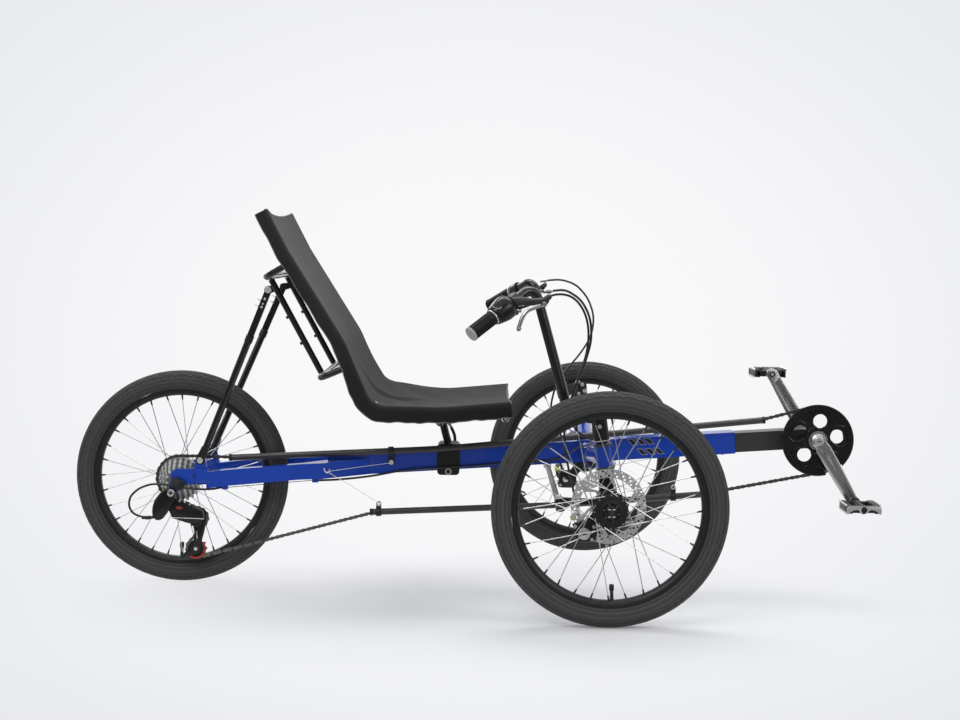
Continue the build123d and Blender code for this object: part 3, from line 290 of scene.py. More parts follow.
def finish(piece, name, body, material, replaces=(), smooth=38):
    """Names a piece, or several as one, smooths it, gives it its material and body."""
    piece = joined(piece) if isinstance(piece, list) else piece
    select(piece)
    bpy.ops.object.transform_apply()
    piece.name = piece.data.name = name
    if smooth:
        bpy.ops.object.shade_smooth_by_angle(angle=radians(smooth))
    piece.data.materials.clear()
    piece.data.materials.append(material)
    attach(piece, body)
    if replaces:
        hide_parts(*replaces)
    return piece


def smoothed_node(node, material, smooth=30):
    """A copy of a CAD node with its faces merged, so that its round stretches are smooth."""
    piece = copied(NODES[node])
    select(piece)
    edit_all()
    bpy.ops.mesh.remove_doubles(threshold=1e-6)
    to_object()
    for attribute in [a for a in piece.data.attributes if a.name == "custom_normal"]:
        piece.data.attributes.remove(attribute)
    body = next(name for name, nodes in frame["record"]["behaviour"]["bodies"].items() if node in nodes)
    return finish(piece, node + "_shell", body, material, (node,), smooth)


# ---------------------------------------------------------------- materials
class Flow:
    """A shader socket that can be used in Python expressions; each operator adds its Math node."""

    def __init__(self, tree, socket):
        self.tree, self.socket = tree, socket

    def node(self, kind, values=(), output=0, stops=None, **settings):
        """Adds any node: its settings first, then the values or links of its sockets."""
        node = self.tree.nodes.new(kind)
        for name, value in settings.items():
            setattr(node, name, value)
        if stops:
            ramp = node.color_ramp.elements
            while len(ramp) < len(stops):
                ramp.new(0.5)
            for element, (place, tone) in zip(ramp, stops):
                element.position = place
                element.color = (*tone, 1) if hasattr(tone, "__len__") else (tone,) * 3 + (1,)
        for name, value in (values.items() if hasattr(values, "items") else enumerate(values)):
            if isinstance(value, Flow):
                self.tree.links.new(value.socket, node.inputs[name])
            else:
                node.inputs[name].default_value = value
        return Flow(self.tree, node.outputs[output])

    def math(self, operation, *terms):
        return self.node("ShaderNodeMath", terms, operation=operation)

    def also(self, output):
        """Another output of the same node."""
        return Flow(self.tree, self.socket.node.outputs[output])

    def over(self, edge, soft=0.0):
        """0 below an edge and 1 above it, with a soft step if one is given."""
        if not soft:
            return self.math("GREATER_THAN", self, edge)
        return self.node("ShaderNodeMapRange",
                         {"Value": self, "From Min": edge - soft, "From Max": edge + soft},
                         interpolation_type="SMOOTHSTEP")

    def mixed(self, low, high):
        """A colour between two, by this factor."""
        return self.node("ShaderNodeMix", {0: self, 6: low, 7: high}, 2, data_type="RGBA")


def math_operator(operation, swapped=False):
    """A method that adds one Math node, with its terms swapped for a reflected operator."""
    def applied(flow, *others):
        return flow.math(operation, *others, flow) if swapped else flow.math(operation, flow, *others)
    return applied


for name, operation in (("add", "ADD"), ("sub", "SUBTRACT"), ("mul", "MULTIPLY")):
    setattr(Flow, f"__{name}__", math_operator(operation))
    setattr(Flow, f"__r{name}__", math_operator(operation, True))
for name, operation in (("truediv", "DIVIDE"), ("pow", "POWER"), ("abs", "ABSOLUTE")):
    setattr(Flow, f"__{name}__", math_operator(operation))


def tone(r, g, b):
    return (r, g, b, 1)


def grey(value):
    return tone(value, value, value)


def new_material(name, settings):
    """A Principled material with its constant sockets set; gives it, its shader and a place to start from."""
    material = bpy.data.materials.new(name)
    material.use_nodes = True
    tree = material.node_tree
    shader = tree.nodes["Principled BSDF"]
    for socket, value in settings.items():
        shader.inputs[socket].default_value = value
    return material, shader, Flow(tree, None)


def feed(shader, flow, socket, value):
    flow.tree.links.new(value.socket, shader.inputs[socket])


def place_of(flow):
    return flow.node("ShaderNodeTexCoord", output=3)


def axis_of(flow, vector, number=0):
    """One coordinate of a vector: 0 for X, 1 for Y and 2 for Z."""
    return flow.node("ShaderNodeSeparateXYZ", {0: vector}, number)


def noise(flow, place, scale, detail=3.0, roughness=0.5):
    return flow.node("ShaderNodeTexNoise",
                     {"Vector": place, "Scale": scale, "Detail": detail, "Roughness": roughness})


def stretched(flow, place, x, y, z):
    return flow.node("ShaderNodeMapping", {"Vector": place, "Scale": (x, y, z)})


def bump(flow, height, distance, strength=1.0, under=None):
    values = {"Height": height, "Distance": distance, "Strength": strength}
    if under:
        values["Normal"] = under
    return flow.node("ShaderNodeBump", values)


def finish_of(name, colour, rough, metallic=0.0, grain=900.0, grain_depth=0.00002, mottle=0.12, spread=0.08,
              brushed=None, dust=0.0, coat=None, specular=None):
    """A made finish: mottled colour, uneven gloss, a fine grain or brushing, and dust on what faces up."""
    settings = {"Metallic": metallic}
    if coat:
        settings.update({"Coat Weight": coat, "Coat Roughness": 0.06})
    if specular:
        settings["Specular IOR Level"] = specular
    material, shader, flow = new_material(name, settings)
    place = place_of(flow)
    broad = noise(flow, place, 9.0, 4.0)
    fine_place = stretched(flow, place, *brushed) if brushed else place
    fine = noise(flow, fine_place, grain, 2.0)
    dark = tone(*(c * (1 - mottle) for c in colour))
    light = tone(*(min(1, c * (1 + mottle)) for c in colour))
    base = (broad * 0.7 + fine * 0.3).mixed(dark, light)
    roughness = rough - spread + broad * spread + fine * spread
    if dust:
        up = axis_of(flow, flow.node("ShaderNodeNewGeometry", output=1), 2)
        film = up.over(0.5, 0.5) * noise(flow, place, 55.0, 5.0).over(0.5, 0.25) * dust
        base = film.mixed(base, tone(0.42, 0.40, 0.37))
        roughness = roughness + film * 0.3
    feed(shader, flow, "Base Color", base)
    feed(shader, flow, "Roughness", roughness)
    feed(shader, flow, "Normal", bump(flow, fine, grain_depth))
    return material


BLUE = finish_of("blue_paint", (0.003, 0.044, 0.37), 0.30, grain=420, grain_depth=0.00003, mottle=0.10,
                 coat=0.6, specular=0.3)
BOOM_BLACK = finish_of("satin_black_boom", (0.034, 0.034, 0.036), 0.30, grain=500, dust=0.03)
GLOSS_BLACK = finish_of("gloss_black_tube", (0.009, 0.009, 0.010), 0.22, grain=500, dust=0.03,
                        coat=0.4, specular=0.4)
SATIN_BLACK = finish_of("satin_black_metal", (0.012, 0.012, 0.012), 0.38, grain=700, dust=0.06,
                        specular=0.35)
BLACK_PLASTIC = finish_of("black_plastic", (0.013, 0.013, 0.013), 0.44, grain=1300, grain_depth=0.00005,
                          dust=0.06, specular=0.35)
GLOSS_PLASTIC = finish_of("gloss_plastic", (0.009, 0.009, 0.009), 0.22, grain=900, specular=0.4)
GREY_PLASTIC = finish_of("grey_plastic", (0.32, 0.32, 0.31), 0.5, grain=1300, grain_depth=0.00005)
GUIDE_TUBE = finish_of("guide_tube", (0.035, 0.034, 0.033), 0.34, grain=300, dust=0.12)
HOUSING = finish_of("cable_housing", (0.014, 0.014, 0.014), 0.30, grain=1500)
SILVER = finish_of("polished_aluminium", (0.62, 0.62, 0.61), 0.24, 1.0, 240, mottle=0.05, spread=0.1,
                   brushed=(0.5, 8.0, 8.0))
MACHINED = finish_of("machined_aluminium", (0.60, 0.60, 0.59), 0.34, 0.75, 500, 0.00003, mottle=0.08)
STEEL = finish_of("bright_steel", (0.75, 0.74, 0.73), 0.26, 0.55, 700, mottle=0.08)
WIRE = finish_of("spoke_wire", (0.66, 0.66, 0.65), 0.28, 1.0, 900, mottle=0.05)
DISC_STEEL = finish_of("disc_steel", (0.62, 0.62, 0.61), 0.30, 0.55, 700, mottle=0.12)
SPROCKET_STEEL = finish_of("sprocket_steel", (0.84, 0.84, 0.82), 0.36, 0.35, 900, mottle=0.2)
# a darker steel for every other sprocket: painted shade between the cassette's layers
SHADED_SPROCKET_STEEL = finish_of("shaded_sprocket_steel", (0.29, 0.285, 0.275), 0.36, 0.7, 900, mottle=0.3)
DARK_STEEL = finish_of("dark_steel", (0.10, 0.10, 0.10), 0.38, 0.9, 700, mottle=0.2)
CHAIN_STEEL = finish_of("chain_steel", (0.20, 0.195, 0.185), 0.30, 1.0, 800, mottle=0.35, spread=0.16)
GREY_ROD = finish_of("grey_rod", (0.055, 0.055, 0.056), 0.32, grain=700)
LEVER_GREY = finish_of("lever_grey", (0.060, 0.060, 0.062), 0.32, 0.6, 600)
RED = finish_of("red_plastic", (0.26, 0.020, 0.010), 0.35, grain=900)
LIME = finish_of("lime_anodised", (0.42, 0.55, 0.03), 0.35, 0.4, 900)
GRIP = finish_of("grip_rubber", (0.012, 0.012, 0.012), 0.60, grain=1600, grain_depth=0.0001, dust=0.06,
                 specular=0.3)
NIPPLE = finish_of("nipple_black", (0.06, 0.06, 0.06), 0.4, 0.8, 900)


def rubber_of(name, centre):
    """Tyre rubber: dusty on the tread, with moulded rings and fine thread lines on the sidewall, and three painted
    pairs of a shade line and a highlight line on the sidewall.
    """
    material, shader, flow = new_material(name, {"Specular IOR Level": 0.3})
    place = flow.node("ShaderNodeMapping", {"Vector": place_of(flow), "Location": tuple(-centre)})
    axes = axis_of(flow, place)
    x, z = axes, axes.also(2)
    reach = (x * x + z * z) ** 0.5
    turn = flow.math("ARCTAN2", z, x)
    blotch = noise(flow, place, 16.0, 5.0)
    speck = noise(flow, place, 700.0, 2.0)
    tread = reach.over(0.2415, 0.003)
    rings = flow.math("SINE", reach * 2600) * (1 - tread) * 0.5
    threads = flow.math("SINE", turn * 900 + reach * 500) * (1 - tread) * 0.25
    base = (blotch * 0.6 + speck * 0.4).mixed(grey(0.037), tone(0.064, 0.063, 0.063))
    # painted shade and highlight: three pairs of a dark line of shade and a pale line of highlight, standing for
    # moulded ridges on the sidewall
    for line, deep in ((0.2128, 1), (0.2150, 0), (0.2222, 1), (0.2236, 0), (0.2385, 1), (0.2402, 0)):
        drawn = 1 - abs(reach - line).over(0.0006, 0.0003)
        base = (drawn * (0.8 if deep else 0.6)).mixed(base, grey(0.004 if deep else 0.10))
    dusty = tread * noise(flow, place, 90.0, 4.0).over(0.48, 0.2) * 0.35
    feed(shader, flow, "Base Color", dusty.mixed(base, tone(0.075, 0.072, 0.068)))
    feed(shader, flow, "Roughness", 0.46 + blotch * 0.12 + tread * 0.18)
    feed(shader, flow, "Normal", bump(flow, rings + threads + speck * 0.5, 0.0003))
    return material


def weave(flow, pitch):
    """A cloth's own place, its two directions in metres, its yarns' height, and a mask of the spaces between the
    yarns, where the cloth materials paint shade.
    """
    cloth = flow.node("ShaderNodeTexCoord", output=2)
    axes = axis_of(flow, cloth)
    u, v = axes, axes.also(1)
    turn = 2 * pi / pitch
    across, along = flow.math("SINE", u * turn), flow.math("SINE", v * turn)
    checks = across * along
    yarn = abs(across) * checks.over(0) + abs(along) * (1 - checks.over(0))
    return cloth, u, v, yarn, 1 - yarn.over(0.25, 0.2)


def weave_of(name, light, dark, pitch):
    """Plain woven mesh that follows the cloth's own UV map, in metres, with painted shade down the yarns' sides
    and between them.
    """
    material, shader, flow = new_material(name, {"Sheen Weight": 0.25, "Sheen Roughness": 0.5,
                                                 "Specular IOR Level": 0.3})
    cloth, _, _, yarn, gap_shade = weave(flow, pitch)
    place = place_of(flow)
    cloud = noise(flow, place, 7.0, 4.0)
    slub = noise(flow, stretched(flow, cloth, 1.0, 14.0, 1.0), 120.0, 2.0)
    # painted shade and highlight: the yarns' crowns are lighter and their sides darker
    base = (yarn * 0.45 + cloud * 0.35 + slub * 0.2).mixed(tone(*dark), tone(*light))
    # painted shade: the spaces between the yarns are darkened nearly to black
    feed(shader, flow, "Base Color", (gap_shade * 0.5).mixed(base, grey(0.006)))
    feed(shader, flow, "Roughness", 0.68 + cloud * 0.14 - yarn * 0.1)
    feed(shader, flow, "Normal", bump(flow, yarn + slub * 0.4, 0.00035))
    return material


PIPING = weave_of("piping", (0.16, 0.16, 0.16), (0.09, 0.09, 0.09), 0.0012)


# ---------------------------------------------------------------- wheels
TYRE_OUTSIDE, TYRE_HALF = 249.5, 22.4
RIM_SEAT, RIM_INSIDE, RIM_HALF = 206.0, 191.0, 13.0
SPOKES_PER_FLANGE, SPOKE_CROSSES = 16, 3
FRONT_FLANGES, REAR_FLANGES = (-22, 22), (-21, 33)      # across the hub
DISC_PLACE = 40                    # across, from the wheel's middle
DISC_DRILLS = ((65.8, 2.4), (71.0, 2.8), (76.2, 2.4))    # distance from the axle and radius
TREAD_STEPS = 176
TREAD_DEPTH = 1.3
SIDEWALL = [70, 79, 80, 82, 83, 94, 106, 111, 112, 115, 116, 122, 128]   # degrees round the section
SIDE_RIDGES = (80, 82, 112, 115)
TREAD_EDGES = (-62, -54, -50, -33, -29, -12, -8, 8, 12, 29, 33, 50, 54, 62)     # degrees too


def tyre(name, centre, body, material):
    """A tyre: a round section with a rim strip, and a tread of ribs and slanted blocks raised from it."""
    middle = TYRE_OUTSIDE - TYRE_HALF
    low = TREAD_DEPTH
    profile = [(RIM_SEAT + 1, -12.6), (RIM_SEAT + 4.4, -15.4), (RIM_SEAT + 5.2, -15.2)]
    for angle in [-a for a in reversed(SIDEWALL)] + [*TREAD_EDGES] + SIDEWALL:
        shrink = low if abs(angle) <= 62 else low * (-0.3 if abs(angle) in SIDE_RIDGES else 0.4)
        reach = TYRE_HALF - shrink
        profile.append((middle + reach * cos(radians(angle)), reach * sin(radians(angle))))
    profile += [(RIM_SEAT + 5.2, 15.2), (RIM_SEAT + 4.4, 15.4), (RIM_SEAT + 1, 12.6)]
    piece = turned(profile, centre, steps=TREAD_STEPS)
    edit()
    bands = {(-8, 8): (1, 1), (12, 29): (4, 3), (-29, -12): (4, 3), (33, 50): (4, 3), (-50, -33): (4, 3),
             (54, 62): (2, 1), (-62, -54): (2, 1)}

    def is_block(face):
        place = face.calc_center_median() - centre
        reach = hypot(place.x, place.z) * 1000
        angle = atan2(place.y * 1000, reach - middle) * 180 / pi
        sector = int((atan2(place.z, place.x) + 2 * pi) / (2 * pi) * TREAD_STEPS)
        for (start, end), (every, kept) in bands.items():
            if start < angle < end:
                slant = round(abs(angle) / 17)
                return (sector + slant) % every < kept
        return False
    pick(is_block)
    fatten_by((TREAD_DEPTH - 0.05) / 1000)
    to_object()
    return finish(piece, name, body, material, (name,), 32)


def rim(name, centre, body):
    """A deep black rim with hooked edges and a rounded inner face."""
    half = RIM_HALF
    profile = [(RIM_SEAT + 0.6, -half + 2.4), (RIM_SEAT + 0.6, -half + 0.4), (RIM_SEAT, -half),
               (RIM_SEAT - 6, -half), (RIM_INSIDE + 5, -half + 2.2), (RIM_INSIDE + 2, -half + 5),
               (RIM_INSIDE + 0.5, -half + 8), (RIM_INSIDE, -2), (RIM_INSIDE, 2),
               (RIM_INSIDE + 0.5, half - 8), (RIM_INSIDE + 2, half - 5), (RIM_INSIDE + 5, half - 2.2),
               (RIM_SEAT - 6, half), (RIM_SEAT, half), (RIM_SEAT + 0.6, half - 0.4),
               (RIM_SEAT + 0.6, half - 2.4), (RIM_SEAT - 3, half - 3), (RIM_SEAT - 4, 0),
               (RIM_SEAT - 3, -half + 3)]
    piece = turned(profile, centre, steps=128)
    return finish(piece, name, body, SATIN_BLACK, (name,), 30)


def spokes(name, centre, body, flanges):
    """Crossed wires with a bent head; flanges lists each one's place across and its hole circle."""
    turn = 2 * pi / SPOKES_PER_FLANGE
    end_reach = (RIM_INSIDE + 0.5) / 1000
    wires, nipples = [], []
    for flange, (across, circle) in enumerate(flanges):
        for number in range(SPOKES_PER_FLANGE):
            lean = 1 if number % 2 else -1
            at_rim = turn * (number + 0.5 * flange)
            at_hub = at_rim + lean * SPOKE_CROSSES * turn
            face = across + (3.0 if number % 2 else -3.0)
            hub = Vector((circle * cos(at_hub), face, circle * sin(at_hub))) / 1000
            back = across - (face - across) * 1.15
            other = Vector((circle * cos(at_hub), back, circle * sin(at_hub))) / 1000
            nearer = 0.003 if across > 0 else -0.003
            rim_end = Vector((end_reach * cos(at_rim), nearer, end_reach * sin(at_rim)))
            wires.append(round_bar(centre + hub, centre + rim_end, 1.0, 8))
            wires.append(round_bar(centre + other, centre + hub, 1.0, 8))
            head = centre + other + (other - hub).normalized() * 0.0009
            wires.append(round_bar(centre + other, head, 1.9, 10))
            inward = (hub - rim_end).normalized()
            nipples.append(round_bar(centre + rim_end, centre + rim_end + inward * 0.011, 2.3, 8, 0, 1.7))
    finish(wires, name + "_wires", body, WIRE, (name,))
    return finish(nipples, name + "_nipples", body, NIPPLE)


def valve(name, centre, body, angle):
    """A black valve with its ribbed cap, standing in from the rim."""
    inward = -Vector((cos(radians(angle)), 0, sin(radians(angle))))
    root = centre - inward * (RIM_INSIDE / 1000)
    profile = [(0.1, 0), (4.6, 0), (4.0, 3), (3.6, 12), (3.6, 19), (4.9, 20), (5.2, 22), (5.2, 31),
               (4.4, 33), (0.1, 33.4)]
    return finish(turned(profile, root, inward, 16), name, body, BLACK_PLASTIC)


def scalloped(radius, dip, lobes, points_per_lobe=6):
    """Radius and angle of an outline with one round lobe at each spoke hole."""
    total = lobes * points_per_lobe
    return [(radius - dip * (0.5 - 0.5 * cos(2 * pi * k / points_per_lobe)), 2 * pi * k / total)
            for k in range(total)]


def flange_plate(centre, across, thickness, radius, dip, lobes):
    outline = [centre + Vector((r * cos(a), across - thickness / 2, r * sin(a))) / 1000
               for r, a in scalloped(radius, dip, lobes)]
    return extruded(outline, Vector((0, thickness / 1000, 0)), 0.4)


def front_wheel(side_name, side):
    centre = Vector(JOINTS[side_name + "_wheel_spin"]["pos_m"])
    body = side_name + "_wheel"
    rubber = rubber_of(side_name + "_tyre_rubber", centre)
    tyre(side_name + "_tyre", centre, body, rubber)
    rim(side_name + "_rim", centre, body)
    spokes(side_name + "_spokes", centre, body, [(across, 35) for across in FRONT_FLANGES])
    valve(side_name + "_valve", centre, body, -88 if side < 0 else 63)
    plates = [flange_plate(centre, across, 4.0, 38.4, 2.4, SPOKES_PER_FLANGE) for across in FRONT_FLANGES]
    out = outward(side)
    barrel = turned([(6.6, -38), (15, -38), (19, -37), (20, -35), (20, -27), (17, -25), (17, -19), (16, -8),
                     (16, 8), (17, 19), (22, 24), (25, 25.4), (25, 27), (23.2, 29.4), (19.4, 30.2),
                     (19.2, 27.6), (13.6, 27.2), (13.4, 31.6), (11.6, 33), (6.6, 33)], centre, out, 48)
    finish([barrel] + plates, side_name + "_hub_shell", body, SATIN_BLACK,
           (side_name + "_hub",), 32)
    ring = bolt_ring(centre + out * 0.0272, out, 16.4, 1.0, 6)
    finish(ring, side_name + "_hub_screws", body, MACHINED)
    disc_rotor(side_name, side, centre, body)


def bolt_ring(centre, out, circle, radius, count, height=1.6):
    arm = out.orthogonal().normalized()
    return around(bolt(centre + arm * (circle / 1000), out, radius, height, 12), count, centre, out)


def disc_rotor(side_name, side, centre, body):
    """A drilled brake disc: a holed track, six curved arms and a ring that six bolts hold."""
    inner = -DISC_PLACE * side
    face = centre + Vector((0, (inner - 1) / 1000, 0))
    track = turned([(62, 0.1), (80, 0.1), (80, 1.9), (62, 1.9)], face, ACROSS, 120)
    hub_ring = turned([(17, 0.1), (26, 0.1), (26, 1.9), (17, 1.9)], face, ACROSS, 48)
    arms = []
    for k in range(6):
        lean = radians(26) * -side
        start, end = 2 * pi * k / 6, 2 * pi * k / 6 + lean
        foot = [(24.5, start - 0.20), (43, start + lean * 0.4 - 0.065), (63, end - 0.085),
                (63, end + 0.085), (43, start + lean * 0.4 + 0.065), (24.5, start + 0.20)]
        arms.append(extruded([face + Vector((r * cos(a), 0.2, r * sin(a))) / 1000 for r, a in foot],
                             Vector((0, 0.0016, 0))))
    drills = []
    for k in range(24):
        for step, (reach, size) in enumerate(DISC_DRILLS):
            angle = 2 * pi * k / 24 + step * 0.085
            spot = face + Vector((reach * cos(angle), 0, reach * sin(angle))) / 1000
            drills.append(round_bar(spot - ACROSS * 0.004, spot + ACROSS * 0.006, size, 12))
    cut(track, drills)
    finish([track, hub_ring] + arms, side_name + "_rotor", body, DISC_STEEL,
           (side_name + "_disc",), 30)
    out = outward(-side)
    screws = bolt_ring(centre + out * 0.0415, out, 21.5, 2.6, 6, 1.4)
    finish(screws, side_name + "_rotor_bolts", body, DARK_STEEL)


def rear_wheel():
    centre = REAR_AXLE.copy()
    rubber = rubber_of("rear_tyre_rubber", centre)
    tyre("rear_tyre", centre, "rear_wheel", rubber)
    rim("rear_rim", centre, "rear_wheel")
    spokes("rear_spokes", centre, "rear_wheel", [(across, 23) for across in REAR_FLANGES])
    valve("rear_valve", centre, "rear_wheel", -91)
    plates = [flange_plate(centre, across, 3.6, 26, 1.8, SPOKES_PER_FLANGE) for across in REAR_FLANGES]
    shell = turned([(5.2, -64), (11.9, -64), (11.9, -36), (15, -23), (15, -19), (13.4, -10), (13.4, 20),
                    (15, 31), (17, 35.4), (16, 40), (12, 44), (12, 60), (9, 64), (5.2, 64)],
                   centre, ACROSS, 40)
    finish([shell] + plates, "rear_hub_shell", "rear_wheel", MACHINED, ("rear_hub",), 32)


rear_wheel()
for side_name, side in SIDES:
    front_wheel(side_name, side)


# ---------------------------------------------------------------- drivetrain
PITCH = 12.7                       # chain pitch
CHAINRING_TEETH, PULLEY_TEETH = 38, 11
SPROCKETS = ((26, 14), (23, 12), (21, 11), (19, 9), (17, 0), (15, 0), (13, 0), (12, 0))    # teeth and holes
BRACKET_X, BRACKET_Z = 1479.0, 357.44
CHAIN_RING_Y, CASSETTE_Y, PULLEY_Y, TUBE_Y = -50.0, -34.0, -39.0, -42.0
CRANK_LENGTH, CRANK_ANGLE = 162.0, -60.0
CRANK_FOOT, CRANK_LEAN, CRANK_CAP = 63.5, 14, 76.4       # across the trike
PEDAL_LENGTH, PEDAL_ENDS = 78.0, (97.5, 177.5)
GUIDE_PULLEY, TENSION_PULLEY = (43.0, 157.5), (38.8, 86.0)
UPPER_MOUTHS = ((117.0, 300.5), (1359.5, 401.6))      # X and Z of the chain tubes' ends
LOWER_MOUTHS = ((444.6, 176.0), (1226.7, 226.8))


def inside(mouths, end, depth=14):
    """X and Z of a place inside a chain tube, near one of its ends."""
    (x, z), (other_x, other_z) = mouths[end], mouths[1 - end]
    share = depth / hypot(other_x - x, other_z - z)
    return x + (other_x - x) * share, z + (other_z - z) * share


def pitch_radius(teeth):
    return PITCH / 2 / sin(pi / teeth)


def directed_tangent(first, second):
    """Where a line leaves the first circle and meets the second; each is X, Z, signed radius."""
    (x1, z1, r1), (x2, z2, r2) = first[:3], second[:3]
    heading = atan2(z2 - z1, x2 - x1) - asin((r2 - r1) / hypot(x2 - x1, z2 - z1))
    side = (-sin(heading), cos(heading))
    return (x1 - r1 * side[0], z1 - r1 * side[1]), (x2 - r2 * side[0], z2 - r2 * side[1]), heading


def chain_pins(stations):
    """Places of the chain's pins, one pitch apart, through stations of X, Z, signed radius and Y."""
    path = []
    tangents = [directed_tangent(a, b) for a, b in zip(stations, stations[1:])]
    for number, (leave, meet, heading) in enumerate(tangents):
        x, z, radius, y = stations[number]
        if number:
            turn = (heading - tangents[number - 1][2]) % (2 * pi)
            turn = turn if radius > 0 else turn - 2 * pi
            first = tangents[number - 1][2] - pi / 2
            steps = max(2, int(abs(turn * radius) / 1.5))
            for k in range(1, steps):
                angle = first + turn * k / steps
                path.append((x + radius * cos(angle), y, z + radius * sin(angle)))
        for share in (k / 24 for k in range(25)):
            path.append((leave[0] + (meet[0] - leave[0]) * share, y + (stations[number + 1][3] - y) * share,
                         leave[1] + (meet[1] - leave[1]) * share))
    pins, since = [Vector(path[0])], 0.0
    for here, there in zip(path, path[1:]):
        here, there = Vector(here), Vector(there)
        span = (there - here).length
        while since + span >= PITCH:
            here = here.lerp(there, (PITCH - since) / span)
            span, since = (there - here).length, 0.0
            pins.append(here.copy())
        since += span
    return [at(*pin) for pin in pins]


def link_plate(y, thickness, radius, waist):
    """A waisted plate between two pins, lying along X about the origin."""
    outline = []
    for end, first in ((1, -105), (-1, 75)):
        for k in range(8):
            angle = radians(first + 30 * k)
            outline.append((end * PITCH / 2 + radius * cos(angle), radius * sin(angle)))
        outline.append((0, end * waist))
    return extruded([Vector((x, y, z)) / 1000 for x, z in outline], Vector((0, thickness / 1000, 0)))


def chain():
    """The linked chain where it shows: round the cassette and pulleys, and round the chainring."""
    half = Vector((PITCH / 2000, 0, 0))
    across = ACROSS / 1000
    wide = joined([link_plate(y, 0.9, 4.0, 2.9) for y in (-3.1, 2.2)]
                  + [round_bar(end - across * 3.5, end + across * 3.5, 1.7, 10) for end in (half, -half)])
    narrow = joined([link_plate(y, 0.8, 3.8, 2.5) for y in (-2.0, 1.2)]
                    + [round_bar(end - across * 1.3, end + across * 1.3, 3.6, 12) for end in (half, -half)])
    first, ring, pulley = (pitch_radius(t) for t in (SPROCKETS[0][0], CHAINRING_TEETH, PULLEY_TEETH))
    rear = [(*inside(UPPER_MOUTHS, 0), 0, TUBE_Y), (0, DATUM, first, CASSETTE_Y),
            (*GUIDE_PULLEY, -pulley, PULLEY_Y), (*TENSION_PULLEY, pulley, PULLEY_Y),
            (*inside(LOWER_MOUTHS, 0), 0, TUBE_Y)]
    front = [(*inside(LOWER_MOUTHS, 1), 0, TUBE_Y), (BRACKET_X, BRACKET_Z, ring, CHAIN_RING_Y),
             (*inside(UPPER_MOUTHS, 1), 0, TUBE_Y)]
    links, inner_links = [], []
    for stations in (rear, front):
        pins = chain_pins(stations)
        for number, (here, there) in enumerate(zip(pins, pins[1:])):
            run = (there - here).normalized()
            turn = Matrix((run, ACROSS, run.cross(ACROSS))).transposed().to_4x4()
            place = Matrix.Translation((here + there) / 2) @ turn
            if number % 2:
                links.append(copied(wide, place))
            else:
                inner_links.append(copied(narrow, place))
    for template in (wide, narrow):
        bpy.data.objects.remove(template)
    finish(links, "chain_links", "frame", CHAIN_STEEL, ("chain",), 35)
    finish(inner_links, "chain_inner_links", "frame", DARK_STEEL, (), 35)


# one tooth: the share of a pitch round from its middle, and millimetres out from the pitch circle
TOOTH = ((-0.5, -3.7), (-0.28, -1.2), (-0.13, 2.4), (0.0, 3.3), (0.13, 2.4), (0.28, -1.2))


def sprocket(teeth, x, z, y, thickness, bore, holes=0):
    """A sprocket: one rounded tooth for each roller, a bore and round lightening holes."""
    pitch = pitch_radius(teeth)
    outline = []
    for k in range(teeth):
        for share, reach in TOOTH:
            angle = 2 * pi * (k + share) / teeth
            outline.append((x + (pitch + reach) * cos(angle), z + (pitch + reach) * sin(angle)))
    cutters = [round_bar(at(x, y - 6, z), at(x, y + 6, z), bore, 32)]
    if holes:
        reach = (pitch + bore) / 2 + 0.8
        size = min((pitch - bore) / 2 - 4.6, pi * reach / holes * 0.66)
        for k in range(holes):
            angle = 2 * pi * (k + 0.5) / holes
            spot = (x + reach * cos(angle), z + reach * sin(angle))
            cutters.append(round_bar(at(spot[0], y - 6, spot[1]), at(spot[0], y + 6, spot[1]), size, 16))
    return cut(side_plate(outline, y - thickness / 2, thickness), cutters)


def cassette():
    """Eight sprockets, the large ones drilled, with dark spacers between them, and every other sprocket in a
    darker steel as painted shade between the layers.
    """
    rings, shaded_rings, spacers = [], [], []
    for k, (teeth, holes) in enumerate(SPROCKETS):
        y = CASSETTE_Y - 3.9 * k
        # every other sprocket takes the darker steel, painted shade between the layers
        (shaded_rings if k % 2 else rings).append(sprocket(teeth, 0, DATUM, y, 1.8, 12.1, holes))
        if k < len(SPROCKETS) - 1:
            spacers.append(turned([(12.1, y - 0.9), (17, y - 0.9), (17, y - 3.0), (12.1, y - 3.0)],
                                  REAR_AXLE))
    finish(rings, "cassette_sprockets", "rear_wheel", SPROCKET_STEEL, ("cassette",), 30)
    finish(shaded_rings, "cassette_shaded_sprockets", "rear_wheel", SHADED_SPROCKET_STEEL, (), 30)
    finish(spacers, "cassette_spacers", "rear_wheel", DARK_STEEL)


def polar(radius, degrees, x=BRACKET_X, z=BRACKET_Z):
    """X and Z at a distance and an angle from a centre, the cranks' by default."""
    return x + radius * cos(radians(degrees)), z + radius * sin(radians(degrees))


